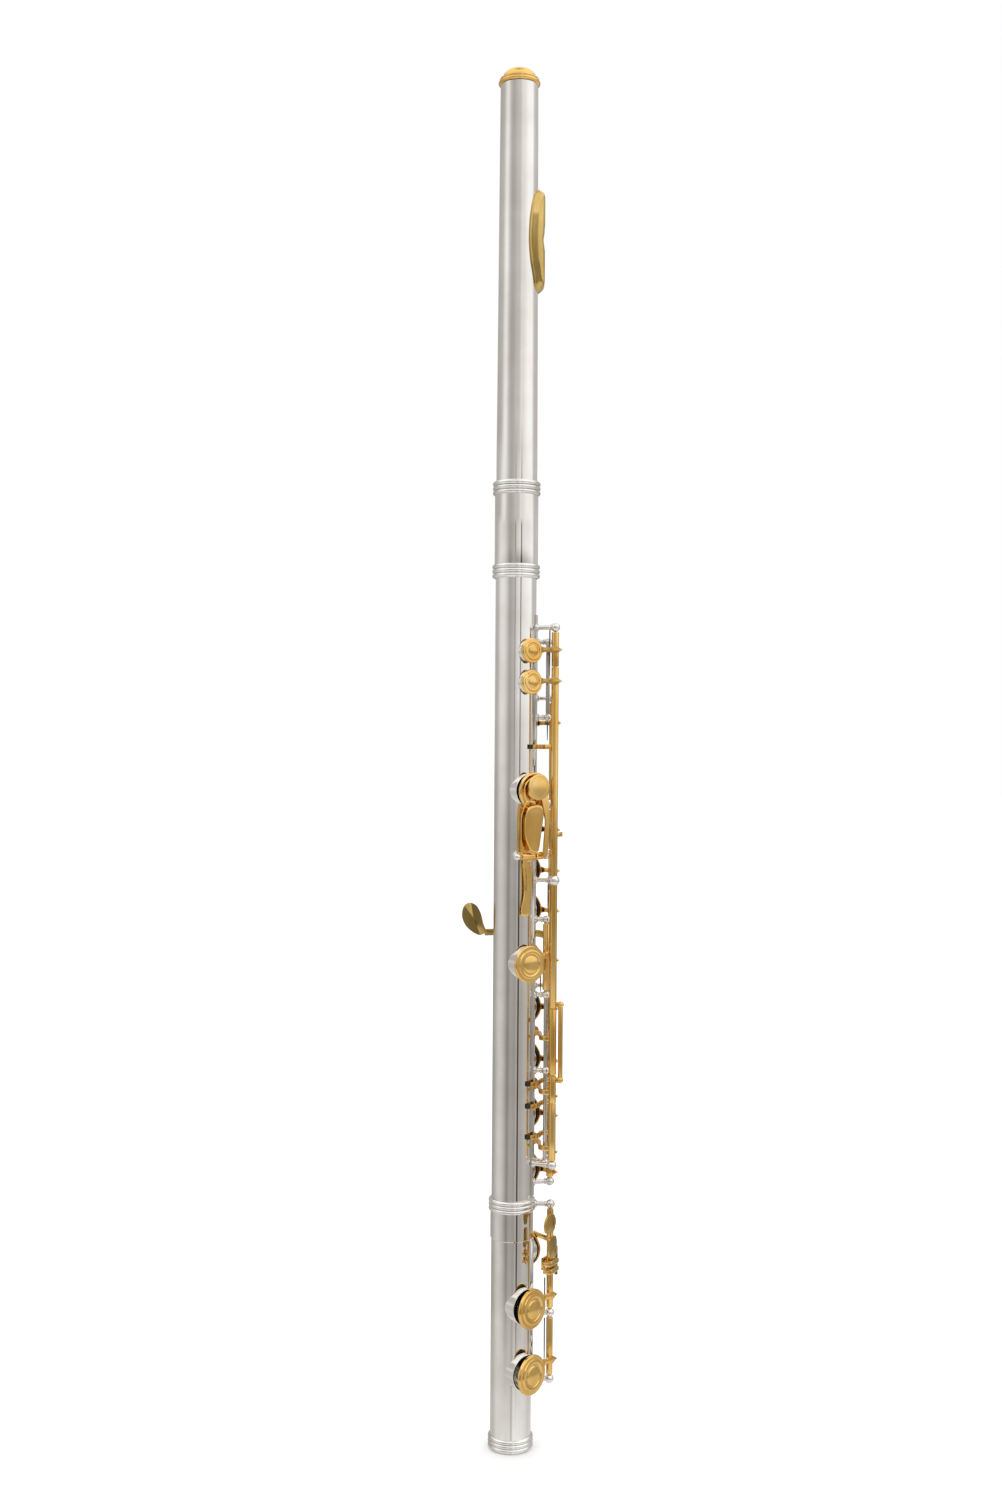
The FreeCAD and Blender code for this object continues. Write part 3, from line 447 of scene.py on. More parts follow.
def bar(points, wide, thick, material, edge=0.25):
    line = smoothLine(points, False, 8)
    base = meshObject("line", line, edges=[(i, i + 1) for i in range(len(line) - 1)])
    piece = grown("bar", base, "bar", material, Wide=wide * mm, Thick=thick * mm, Edge=edge * mm)
    return tidyNormals(piece)


def flatBar(points, z, wide, thick, material="goldKey"):
    return bar([(x, y, z) for x, y in points], wide, thick, material)


def joined(name, pieces):
    bpy.ops.object.select_all(action="DESELECT")
    for piece in pieces:
        piece.select_set(True)
    bpy.context.view_layer.objects.active = pieces[0]
    if len(pieces) > 1:
        bpy.ops.object.join()
    whole = pieces[0]
    whole.select_set(False)
    whole.name = name
    whole.data.name = name
    return smoothed(whole)


def softened(piece, width, segments=3, angle=35.0):
    # rounds the edges for good
    modifier = piece.modifiers.new("soft", "BEVEL")
    modifier.width = width * mm
    modifier.segments = segments
    modifier.limit_method = "ANGLE"
    modifier.angle_limit = math.radians(angle)
    modifier.harden_normals = False
    evaluated = piece.evaluated_get(bpy.context.evaluated_depsgraph_get())
    data = bpy.data.meshes.new_from_object(evaluated)
    piece.modifiers.remove(modifier)
    old = piece.data
    piece.data = data
    bpy.data.meshes.remove(old)
    return piece


def prism(outline, thick, material="goldKey", edge=0.22):
    # outline points are 3-D and in one plane; thick is the vector to the other face
    count = len(outline)
    verts = [Vector(p) for p in outline] + [Vector(p) + Vector(thick) for p in outline]
    faces = [list(range(count)), list(range(2 * count - 1, count - 1, -1))]
    faces += [(i, i + count, (i + 1) % count + count, (i + 1) % count) for i in range(count)]
    piece = meshObject("prism", verts, faces, material=material)
    tidyNormals(piece)
    return softened(piece, edge)


def block(side, z, y, r, material="goldKey", edge=0.2):
    # spans are (low, high): along the tube, round it, and out from the bore
    size = [s[1] - s[0] for s in (z, y, r)]
    outline = [(0, y[0], r[0]), (size[0], y[0], r[0]), (size[0], y[1], r[0]), (0, y[1], r[0])]
    return placed(prism(outline, (0, 0, size[2]), material, edge), outward(side, z[0]))


def plate(outline, low, thick, crown, material="goldKey", rim=0.35):
    # a plate with a crowned top: rings of points that close in on its middle
    count = len(outline)
    middle = Vector((sum(p[0] for p in outline) / count, sum(p[1] for p in outline) / count))
    top = low + thick
    rings = [(1.0 - rim / 12, low), (1.0 - rim / 40, low + rim * 0.3), (1.0, low + thick * 0.5),
             (0.985, top - rim * 0.35), (0.95, top - rim * 0.06), (0.9, top)]
    rings += [(t, top + crown * (1 - (t / 0.9) ** 2)) for t in (0.75, 0.58, 0.4, 0.2)]
    verts, faces = [], []
    for share, height in rings:
        for p in outline:
            spot = middle + (Vector(p) - middle) * share
            verts.append((spot.x, spot.y, height))
    for k in range(len(rings) - 1):
        for i in range(count):
            j = (i + 1) % count
            faces.append((k * count + i, k * count + j, (k + 1) * count + j, (k + 1) * count + i))
    verts += [(middle.x, middle.y, low), (middle.x, middle.y, top + crown)]
    last = (len(rings) - 1) * count
    for i in range(count):
        j = (i + 1) % count
        faces.append((j, i, len(verts) - 2))
        faces.append((last + i, last + j, len(verts) - 1))
    return tidyNormals(meshObject("plate", verts, faces, material=material))


def roundLoop(points, steps=10):
    return smoothLine(points, True, steps)


def show(piece, body, material, *nodes):
    if not piece.data.materials:
        piece.data.materials.append(finishes[material])
    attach(piece, body)
    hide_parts(*nodes)
    return piece


def arc(cx, cy, radius, start, stop, steps):
    turn = [math.radians(start + (stop - start) * i / steps) for i in range(steps + 1)]
    return [(cx + radius * math.cos(a), cy + radius * math.sin(a)) for a in turn]


def hollowRod(low, high, outer, inner, line, material, steps=40):
    e = 0.16
    outline = [(inner, low), (outer - e, low)] + arc(outer - e, low + e, e, -90, 0, 3)
    outline += arc(outer - e, high - e, e, 0, 90, 3) + [(inner, high), (inner, low)]
    return turned("tube", outline, material, steps, Matrix.Translation((*line, 0)))


def solidRod(low, high, radius, line, material, steps=32):
    e = radius * 0.45
    outline = [(0, low)] + arc(radius - e, low + e, e, -90, 0, 4) + arc(radius - e, high - e, e, 0, 90, 4)
    return turned("rod", outline + [(0, high)], material, steps, Matrix.Translation((*line, 0)))


# tubes

tubes = {
    "bore": 9.5, "wall": 0.4, "holes": {
        "finger": ((350.0, 5.6), (298.0, 8.4), (278.0, 8.4), (258.5, 8.8), (234.5, 8.8), (211.0, 9.0),
                   (185.5, 9.0), (159.0, 9.0), (131.5, 9.0)),
        "thumb": ((317.5, 8.7), (234.5, 8.9), (369.4, 6.0), (384.4, 6.0)),
        "eflat": ((92.5, 9.0),), "foot": ((70.0, 9.5), (38.5, 9.5))},
    "holeLess": 1.65, "chimneyWall": 0.55, "taperFrom": 480.0, "taperTo": 658.0, "crownEnd": 9.15,
}


def trueNormals(piece, ownHoles):
    # Each corner takes the exact normal of the cylinder that it lies on, so the long thin
    # triangles between the holes shine like one drawn tube.
    data = piece.data
    axes = []
    for side, (z, radius) in ownHoles:
        a = math.radians(side)
        axes.append((Vector((math.cos(a), math.sin(a), 0)), z, radius - tubes["holeLess"]))
    normals = []
    for polygon in data.polygons:
        for loop in polygon.loop_indices:
            p = data.vertices[data.loops[loop].vertex_index].co / mm
            flat = Vector((p.x, p.y, 0))
            best = polygon.normal
            if abs(polygon.normal.z) < 0.2 and flat.length > 1:
                radial = flat.normalized()
                if abs(polygon.normal.dot(radial)) > 0.93:
                    best = radial if polygon.normal.dot(radial) > 0 else -radial
            for out, z, radius in axes:
                off = p - out * p.dot(out) - Vector((0, 0, z))
                if p.dot(out) > 5 and min(abs(off.length - radius),
                                          abs(off.length - radius - tubes["chimneyWall"])) < 0.06:
                    around = off.normalized()
                    if abs(polygon.normal.dot(around)) > 0.93:
                        best = around if polygon.normal.dot(around) > 0 else -around
            normals.append(best)
    for polygon in data.polygons:
        polygon.use_smooth = True
    data.normals_split_custom_set(normals)


def tubeCopy(name, node, body, rowsHere):
    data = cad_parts[node].data.copy()
    data.materials.clear()
    data.materials.append(finishes["silverTube"])
    piece = bpy.data.objects.new(name, data)
    bpy.context.collection.objects.link(piece)
    work = bmesh.new()
    work.from_mesh(data)
    bmesh.ops.remove_doubles(work, verts=work.verts, dist=0.000001)
    work.to_mesh(data)
    work.free()
    trueNormals(piece, [(rows[row], hole) for row in rowsHere for hole in tubes["holes"][row]])
    return show(piece, body, "silverTube", node)


tubeCopy("footTube", "foot_tube", "foot_joint", ("eflat", "foot"))
tubeCopy("bodyTube", "body_tube", "body_joint", ("finger", "thumb"))
tubeCopy("headTube", "head_tube", "head_joint", ())

ringsOf = {
    "footBeads": {"node": "foot_beads", "body": "foot_joint",
                  "rings": ((0.2, 6.2, 10.9, 9.95), (114.4, 120.4, 11.3, 10.4))},
    "barrelBeads": {"node": "barrel_beads", "body": "body_joint",
                    "rings": ((419.7, 426.3, 11.6, 10.55), (459.8, 466.3, 11.6, 10.55))},
}


def beads(low, high, crest, seat):
    bead = (high - low) / 6
    base = meshObject("carrier", [(0, 0, 0)])
    stack = grown("beads", base, "beads", "silverPart", Ring_radius=(crest - bead) * mm,
                  Bead_radius=bead * 0.995 * mm, Pitch=bead * 2 * mm, Beads=3)
    placed(stack, Matrix.Translation((0, 0, low + bead)))
    band = [(seat, low), (crest - bead, low), (crest - bead, high), (seat, high), (seat, low)]
    return [tidyNormals(stack), turned("band", band, "silverPart", 96)]


for name, ring in ringsOf.items():
    parts = []
    for low, high, crest, seat in ring["rings"]:
        parts += beads(low, high, crest, seat)
    show(joined(name, parts), ring["body"], "silverPart", ring["node"])

barrelShape = {"low": 419.5, "high": 466.5, "outer": 10.5, "inner": 9.97}


def barrel():
    s = barrelShape
    e = 0.18
    outline = [(s["inner"], s["low"])] + arc(s["outer"] - e, s["low"] + e, e, -90, 0, 3)
    outline += arc(s["outer"] - e, s["high"] - e, e, 0, 90, 3) + [(s["inner"], s["high"]), (s["inner"], s["low"])]
    return show(smoothed(turned("barrel", outline, "silverTube", 160)), "body_joint", "silverTube", "barrel")


barrel()
print("tubes and rings made")


# head

lipShape = {
    "z": 582.8, "half": 24.5, "thick": 0.8, "holeLong": 6.1, "holeWide": 5.2, "rounds": 160, "rings": 26,
    "hug": 10.2, "flatHalf": 19.5,
    # the plate's outside across its middle, as (degrees, out), and its rim, as (along, out)
    "section": ((0, 12.8), (13.7, 13.17), (22, 13.6), (30, 13.6), (40, 13.05), (45.5, 12.75), (49, 11.9),
                (54, 10.95), (60, 10.2), (90, 10.2)), "sectionRim": 60.0, "flat": 12.8,
    "rim": ((-24.5, 9.75), (-22.5, 8.75), (-19.5, 8.1), (-14.7, 7.2), (-10.0, 6.3), (-1.0, 5.6), (9.1, 6.0),
            (13.9, 6.7), (18.7, 7.6), (22.5, 8.7), (24.5, 9.75)),
}


def lookUp(table, value):
    # straight-line reading of a table of rising (key, value) pairs
    for (a, x), (b, y) in zip(table, table[1:]):
        if value <= b:
            return x + (y - x) * max(value - a, 0) / (b - a)
    return table[-1][1]


def lipRim(along):
    # degrees round from the plate's middle to its rim, where it lies on the tube
    s = lipShape
    rim = [(p.x, p.y) for p in smoothLine(s["rim"], False, 8)]
    return math.degrees(math.acos(min(lookUp(rim, along) / s["hug"], 0.995)))


def lipOut(degrees, along, rimAt):
    # how far out the plate's outside is: full in its middle, down on the tube at its rim and its ends
    s = lipShape
    section = [(p.x, p.y) for p in smoothLine(s["section"], False, 6)]
    share = min(max((abs(along) - s["flatHalf"]) / (s["half"] - s["flatHalf"]), 0), 1)
    out = min(lookUp(section, abs(degrees) * s["sectionRim"] / rimAt), s["flat"] / math.cos(math.radians(degrees)))
    return s["hug"] + (out - s["hug"]) * (1 - share ** 2.6)


def lipPlate():
    s = lipShape
    scale = math.degrees(1) / 11.5  # degrees for each mm round the plate

    def inside(along, round_):
        return abs(along) < s["half"] and abs(round_ * scale) < lookUp(rims, along)

    rims = [(k / 2, lipRim(k / 2)) for k in range(-50, 51)]
    verts, faces = [], []
    grid = []
    for k in range(s["rounds"]):
        angle = 2 * math.pi * k / s["rounds"]
        u, v = math.cos(angle), math.sin(angle)
        hole = s["holeLong"] * s["holeWide"] / math.hypot(s["holeWide"] * u, s["holeLong"] * v)
        low, high = hole, 60.0
        for _ in range(24):
            mid = (low + high) / 2
            low, high = (mid, high) if inside(u * mid, v * mid) else (low, mid)
        grid.append((u, v, hole, low))
    for skin in (0.0, s["thick"]):
        for i in range(s["rings"] + 1):
            t = (i / s["rings"]) ** 0.9
            for u, v, hole, edge in grid:
                reach = hole + (edge - hole) * t
                along, degrees = u * reach, v * reach * scale
                lip = 0.3 * math.exp(-((reach - hole) / 0.8) ** 2) * (skin == 0.0)
                out = lipOut(degrees, along, lookUp(rims, along)) - skin - lip
                a = math.radians(degrees)
                verts.append((out * math.cos(a), out * math.sin(a), s["z"] + along))
    layer = (s["rings"] + 1) * s["rounds"]
    for i in range(s["rings"]):
        for k in range(s["rounds"]):
            n = (k + 1) % s["rounds"]
            a, b = i * s["rounds"], (i + 1) * s["rounds"]
            faces.append((a + k, a + n, b + n, b + k))
            faces.append((layer + a + n, layer + a + k, layer + b + k, layer + b + n))
    for a in (0, s["rings"] * s["rounds"]):
        for k in range(s["rounds"]):
            n = (k + 1) % s["rounds"]
            faces.append((a + k, a + n, layer + a + n, layer + a + k))
    piece = tidyNormals(meshObject("lipPlate", verts, faces, material="goldSatinPaintedShade"))
    return show(smoothed(piece, 55), "head_joint", "goldSatinPaintedShade", "lip_plate")


def lipRiser():
    s = lipShape
    verts, faces = [], []
    count = 72
    for grow, high in ((1.25, 0), (1.25, 1), (0, 1), (0, 0)):
        for i in range(count):
            a = 2 * math.pi * i / count
            z, y = (s["holeLong"] + grow) * math.cos(a), (s["holeWide"] + grow) * math.sin(a)
            around = math.asin(y / 13.5)
            head = (lipOut(math.degrees(around), z, lipRim(z)) - s["thick"] - 0.1) * math.cos(around)
            verts.append((head if high else math.sqrt(9.52 ** 2 - y * y), y, s["z"] + z))
    for k in range(4):
        for i in range(count):
            j = (i + 1) % count
            a, b = k * count, (k + 1) % 4 * count
            faces.append((a + i, a + j, b + j, b + i))
    piece = tidyNormals(meshObject("lipRiser", verts, faces, material="goldSatinPaintedShade"))
    return show(smoothed(piece), "head_joint", "goldSatinPaintedShade", "lip_riser")


crownShape = {"low": 658.25, "top": 666.5}


def crown():
    low = crownShape["low"]
    outline = [(1.6, low - 6), (4.4, low - 6), (4.5, low - 5.9), (4.5, low), (9.55, low), (9.7, low + 0.1)]
    outline += arc(9.2, low + 1.0, 0.95, -70, 62, 10)
    outline += arc(8.95, low + 2.55, 0.62, -38, 100, 8) + [(8.45, low + 3.3)]
    dome = crownShape["top"] - low - 3.5
    for step in range(0, 15):
        a = math.radians(90 * step / 14)
        outline.append((8.1 * math.cos(a) ** 0.9, low + 3.5 + dome * math.sin(a)))
    outline[-1] = (0, crownShape["top"])
    outline += [(0, low + 5), (1.6, low + 5), (1.6, low - 6)]
    piece = smoothed(turned("crown", outline, "goldKey", 120), 40)
    return show(piece, "crown", "goldKey", "crown")


def stopper():
    face = lipShape["z"] + 17.3
    cork = [(2.02, face + 1.2)] + arc(8.32, face + 1.7, 0.5, -90, 0, 4) + arc(8.32, face + 20.5, 0.5, 0, 90, 4)
    cork += [(2.02, face + 21), (2.02, face + 1.2)]
    show(smoothed(turned("corkPlug", cork, "cork", 72)), "cork", "cork", "head_cork")
    rod = [(0, face), (8.4, face), (8.6, face + 0.2), (8.6, face + 1.0), (8.4, face + 1.18), (2.0, face + 1.18),
           (2.0, face + 20.9), (1.45, face + 21.02), (7.4, face + 21.02), (7.6, face + 21.2), (7.6, face + 22.2),
           (7.4, face + 22.4), (1.5, face + 22.4)]
    z = face + 22.6
    while z < 658.8:
        rod += [(1.48, z), (1.2, z + 0.25), (1.48, z + 0.5)]  # thread
        z += 0.5
    rod += [(1.4, 659.4), (1.2, 659.5), (0, 659.5)]
    show(smoothed(turned("corkScrew", rod, "steelRod", 48)), "cork", "steelRod", "cork_screw")


lipPlate()
lipRiser()
crown()
stopper()
print("head made")


# ribs, posts, rods and springs

def nodeCopy(name, node, body, material):
    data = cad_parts[node].data.copy()
    data.materials.clear()
    data.materials.append(finishes[material])
    piece = bpy.data.objects.new(name, data)
    bpy.context.collection.objects.link(piece)
    tidyNormals(piece)
    return show(smoothed(piece, 32), body, material, node)


nodeCopy("bodyRib", "body_rib", "body_joint", "silverPart")
nodeCopy("footRib", "foot_rib", "foot_joint", "silverPart")

postShape = {"footRadius": 1.9, "shank": 1.05}
postRows = {
    "bodyPosts": {"node": "body_posts", "body": "body_joint", "rows": (
        ("main", (362.0, 310.0, 222.5, 137.5, 127.0), 2.15, 10.7),
        ("side", (255.0, 218.6, 182.0, 137.5, 389.0, 352.5), 1.9, 10.7),
        ("trill", (395.8, 137.5), 2.2, 10.7), ("trill", (274.3,), 2.8, 10.7))},
    "footPosts": {"node": "foot_posts", "body": "foot_joint", "rows": (
        ("foot", (117.4,), 2.15, 11.3), ("foot", (65.0, 33.0), 2.15, 10.7))},
}


def postOutline(reach, ball, seat):
    s = postShape
    outline = [(0, seat - 0.25), (s["footRadius"] - 0.1, seat - 0.25), (s["footRadius"], seat - 0.1)]
    outline += [(s["footRadius"], seat + 0.4)] + arc(s["footRadius"] - 0.2, seat + 0.4, 0.2, 0, 90, 3)
    outline += arc(s["shank"] + 0.75, seat + 1.35, 0.75, 270, 180, 6)
    neck = reach - ball * 0.93
    outline += [(s["shank"], neck - 0.9), (s["shank"] + 0.32, neck - 0.75), (s["shank"] + 0.4, neck - 0.45),
                (s["shank"] + 0.3, neck - 0.15), (s["shank"] * 0.85, neck)]
    start = -math.degrees(math.acos(s["shank"] * 0.85 / ball))
    outline += arc(0, reach, ball, start, 90, 16)[1:]
    return outline[:-1] + [(0, reach + ball)]


for name, group in postRows.items():
    parts = []
    for line, heights, ball, seat in group["rows"]:
        x, y = lines[line]
        part = turned("post", postOutline(math.hypot(x, y), ball, seat), "silverPart", 40)
        side = math.degrees(math.atan2(y, x))
        parts.append(copies("posts", part, [outward(side, z) for z in heights], "silverPart"))
    show(joined(name, parts), group["body"], "silverPart", group["node"])

thumbHinge = {"z": 286.3, "reach": 15.2, "left": 9.5, "right": -7.5, "ball": 1.8, "pin": 0.7}


def thumbPoint(y, reach):
    matrix = outward(rows["thumb"], thumbHinge["z"])
    return matrix @ Vector((0, y, reach))


def thumbPosts():
    parts = []
    for place in (thumbHinge["left"], thumbHinge["right"]):
        spot = thumbPoint(place, thumbHinge["reach"])
        reach = math.hypot(spot.x, spot.y)
        part = turned("post", postOutline(reach, thumbHinge["ball"], 9.95), "silverPart", 40)
        side = math.degrees(math.atan2(spot.y, spot.x))
        parts.append(copies("posts", part, [outward(side, thumbHinge["z"])], "silverPart"))
    show(joined("thumbPosts", parts), "body_joint", "silverPart", "thumb_posts")


def crossRod(low, high, outer, inner, material):
    # a rod or tube along the thumb keys' own hinge
    e = min(0.16, outer * 0.3)
    outline = [(inner, low), (outer - e, low)] + arc(outer - e, low + e, e, -90, 0, 3)
    outline += arc(outer - e, high - e, e, 0, 90, 3) + [(inner, high)]
    if inner:
        outline.append((inner, low))
    turn = Matrix.Translation((0, 0, thumbHinge["reach"])) @ Matrix.Rotation(math.radians(-90), 4, "X")
    return turned("crossRod", outline, material, 36, outward(rows["thumb"], thumbHinge["z"]) @ turn)


thumbPosts()
pin = crossRod(thumbHinge["right"] - 2.2, thumbHinge["left"] + 2.2, thumbHinge["pin"], 0, "steelRod")
show(joined("thumbPin", [pin]), "body_joint", "steelRod", "thumb_pin")

rodSpans = {
    "steels": {"node": "steels", "body": "body_joint", "rods": (
        ("main", 125.0, 222.4, 1.0), ("main", 222.6, 363.8, 1.0), ("side", 136.0, 256.6, 1.0),
        ("side", 351.0, 390.6, 1.0), ("trill", 392.6, 397.5, 0.45), ("trill", 135.8, 140.8, 0.45))},
    "footSteel": {"node": "foot_steel", "body": "foot_joint", "rods": (("foot", 31.2, 119.3, 0.7),)},
}
for name, group in rodSpans.items():
    rods = [solidRod(low, high, radius, lines[line], "steelRod") for line, low, high, radius in group["rods"]]
    show(joined(name, rods), group["body"], "steelRod", group["node"])

springSpans = {
    "bodySprings": {"node": "body_springs", "body": "body_joint", "needles": (
        ("main", 341.5, 360.6, 2.75, 0), ("main", 291.0, 308.6, 2.75, 0), ("main", 200.5, 221.2, 2.75, 0),
        ("main", 178.2, 190.0, 2.75, 0), ("main", 139.0, 149.0, 2.75, 0), ("trill", 372.5, 394.4, 2.75, 30),
        ("trill", 259.0, 272.6, 2.75, 30), ("side", 220.0, 231.0, 2.6, 0))},
    "footSprings": {"node": "foot_springs", "body": "foot_joint", "needles": (
        ("foot", 68.6, 82.0, 2.6, 20), ("foot", 40.0, 62.6, 2.6, 20))},
}
for name, group in springSpans.items():
    needles = []
    for line, low, high, inward, turn in group["needles"]:
        x, y = lines[line]
        a = math.atan2(y, x) + math.pi + math.radians(turn)
        outline = [(0, low), (0.16, low), (0.31, low + (high - low) * 0.35), (0.32, high - 0.1),
                   (0.22, high), (0, high)]
        spot = Matrix.Translation((x + inward * math.cos(a), y + inward * math.sin(a), 0))
        needles.append(turned("needle", outline, "springSteel", 12, spot))
    show(joined(name, needles), group["body"], "springSteel", group["node"])
print("posts, rods and springs made")


# cups, pads and arms

cupShape = {"low": 12.5, "top": 14.6, "skin": 0.55, "band": 0.78, "bandDrop": 0.62, "ring": 0.52,
            "ringDeep": 0.40, "ringWide": 0.62, "dome": 0.42, "rim": 11.7, "padGap": 0.08}


def cup(row, z, radius, matrix=None):
    s = cupShape
    top, band, ring = s["top"], radius * s["band"], radius * s["ring"]
    shoulder = top - s["bandDrop"]
    outline = [(0, top - s["skin"]), (radius - s["skin"], top - s["skin"]), (radius - s["skin"], s["low"] + 0.1),
               (radius - s["skin"] + 0.1, s["low"]), (radius - 0.12, s["low"]), (radius, s["low"] + 0.12)]
    outline += arc(radius - 0.8, shoulder - 0.8, 0.8, 0, 76, 8)
    outline += [(band + 0.35, shoulder + 0.02), (band + 0.12, shoulder + 0.08), (band, shoulder + 0.24),
                (band - 0.12, top - 0.06), (band - 0.34, top)]
    outline += [(ring + s["ringWide"], top + 0.02), (ring + s["ringWide"] * 0.75, top - 0.06),
                (ring + s["ringWide"] * 0.4, top - s["ringDeep"]),
                (ring - s["ringWide"] * 0.4, top - s["ringDeep"]), (ring - s["ringWide"] * 0.75, top - 0.04),
                (ring - s["ringWide"], top + 0.04)]
    for share in (0.9, 0.72, 0.5, 0.28):
        outline.append(((ring - s["ringWide"]) * share, top + s["dome"] * (1 - share ** 2) + 0.05))
    outline.append((0, top + s["dome"] + 0.05))
    place = outward(rows[row], z)
    piece = turned("cup", outline, "goldKey", 80, place)
    return placed(piece, matrix) if matrix else piece


def pad(row, z, radius, matrix=None):
    s = cupShape
    low, edge = s["rim"] + s["padGap"], radius - s["skin"] - 0.06
    high = s["top"] - s["skin"] - 0.03
    outline = [(0, low + 0.12), (edge * 0.35, low + 0.08), (edge * 0.62, low), (edge - 0.6, low)]
    outline += arc(edge - 0.45, low + 0.45, 0.45, -80, 0, 5) + [(edge, high), (0, high)]
    piece = turned("pad", outline, "padSkin", 64, outward(rows[row], z))
    return placed(piece, matrix) if matrix else piece


def pointedArm(line, row, z, radius, hub, tip=3.6, shift=0.0, matrix=None):
    # the flat arm from the cup's shoulder over the hinge tube to a point
    axis = Vector((*lines[line], 0))
    a = math.radians(rows[row])
    out = Vector((math.cos(a), math.sin(a), 0))
    tangent = Vector((-out.y, out.x, 0))
    if tangent.dot(axis) < 0:
        tangent = -tangent
    bite = math.sqrt(radius ** 2 - shift ** 2)
    edge = out * (cupShape["top"] - 1.3) + tangent * (bite - 0.3)
    span = edge - axis
    lift = hub - 0.75
    lean = math.asin(lift / span.length)
    reach = math.sqrt(span.length ** 2 - lift ** 2)
    along = span.normalized()
    normal = Vector((along.y, -along.x, 0))
    if normal.dot(axis) < 0:
        lean, normal = -lean, -normal
    turn = Matrix.Rotation(lean, 3, "Z")
    along, normal = turn @ along, turn @ normal
    half = [(reach + 0.15, 1.6), (reach - 0.5, 1.45), (reach - 1.3, 1.15), (reach * 0.5 + 0.8, 0.95),
            (2.4, 1.25), (1.5, 1.7), (0.7, 1.88), (-0.2, 1.9), (-0.9, 1.65), (-1.6, 1.15)]
    outline = half + [(-tip, 0.05)] + [(-tip, -0.05)] + [(s, -w) for s, w in reversed(half)]
    points = [axis + along * s + normal * lift + up * (z + shift + w) for s, w in outline]
    piece = prism(points, normal * 1.15, "goldKey", 0.26)
    return placed(piece, matrix) if matrix else piece


fingerTube = {"outside": 1.75, "bore": 1.08}

footPath = ((18.0, 3.9), (15.6, 2.9), (13.7, 1.0), (12.9, -2.2), (11.6, -5.3))
fingerKeys = {
    "csharp": {"cups": ((350.0, 5.6),), "tube": (312.5, 359.6), "feet": (338.4,)},
    "bb": {"cups": ((298.0, 8.4),), "tube": (288.6, 307.6), "feet": ()},
    "a": {"cups": ((278.0, 8.4),), "tube": (268.4, 288.2), "feet": ()},
    "g": {"cups": ((258.5, 8.8), (234.5, 8.8)), "tube": (224.9, 268.0), "feet": ()},
    "fsharp": {"cups": ((211.0, 9.0),), "tube": (198.8, 220.1), "feet": ()},
    "f": {"cups": ((185.5, 9.0),), "tube": (168.9, 198.4), "feet": (176.5,)},
    "e": {"cups": ((159.0, 9.0),), "tube": (140.0, 168.6), "feet": (151.0, 165.8)},
    "d": {"cups": ((131.5, 9.0),), "tube": (129.4, 135.1), "feet": ()},
}


def kickerFoot(z):
    # the stop that rests on the tube, with its end pared thin over the felt
    return [flatBar(footPath, z, 2.2, 1.3), flatBar(((11.6, -5.3), (10.2, -7.2), (8.75, -8.75)), z, 2.2, 0.9)]


def feltUnder(z):
    points = [(math.cos(math.radians(a)) * 10.6, math.sin(math.radians(a)) * 10.6)
              for a in (-39.5, -42.5, -46, -49.5)]
    return flatBar(points, z, 2.2, 1.05, "felt")


for name, key in fingerKeys.items():
    rest = about("main", -keyOpen)
    low, high = key["tube"]
    metalParts = [hollowRod(low, high, fingerTube["outside"], fingerTube["bore"], lines["main"], "goldKey")]
    pads = []
    for z, radius in key["cups"]:
        metalParts += [cup("finger", z, radius, rest), pointedArm("main", "finger", z, radius, 1.75, matrix=rest)]
        pads.append(pad("finger", z, radius, rest))
    for z in key["feet"]:
        metalParts += kickerFoot(z)
    show(joined(name + "Key", metalParts), name, "goldKey", name + "_key")
    show(joined(name + "Pad", pads), name, "padSkin", name + "_pad")
    if key["feet"]:
        felts = [feltUnder(z) for z in key["feet"]]
        show(joined(name + "Bumper", felts), name, "felt", name + "_bumper")
print("finger keys made:", len(fingerKeys))


# trill keys, side lever and G sharp

trillShape = {
    "arm": ((18.4, -6.0), (15.6, -5.3), (13.6, -3.4), (13.2, 0.8), (13.3, 5.2), (12.2, 9.6), (9.6, 13.6),
            (6.6, 16.6)),
    "touchReach": 17.6, "touchWide": 13.0, "bridge": (178.4, 214.7), "bridgeOut": 3.7,
}


def trillLever(z, length=6.2):
    s = trillShape
    long, wide, e = length / 2, s["touchWide"] / 2, min(2.2, length * 0.36)
    loop = roundLoop([(long, -wide + e), (long, wide - e), (long - e, wide), (-long + e, wide),
                      (-long, wide - e), (-long, -wide + e), (-long + e, -wide), (long - e, -wide)], 5)
    touch = placed(plate(loop, s["touchReach"], 0.95, 0.25), outward(rows["finger"] - 2, z))
    return [flatBar(s["arm"], z, 2.4, 1.5), touch]


def hubPoint(z):
    x, y = lines["trill"]
    points = [(x + 0.6, y + 0.1, z - 1.7), (x + 2.9, y + 0.1, z), (x + 0.6, y + 0.1, z + 1.7)]
    return prism(points, (0, -1.1, 0), edge=0.2)


def trillHub(low, high, inner=1.08):
    return hollowRod(low, high, 1.75, inner, lines["trill"], "goldKey")


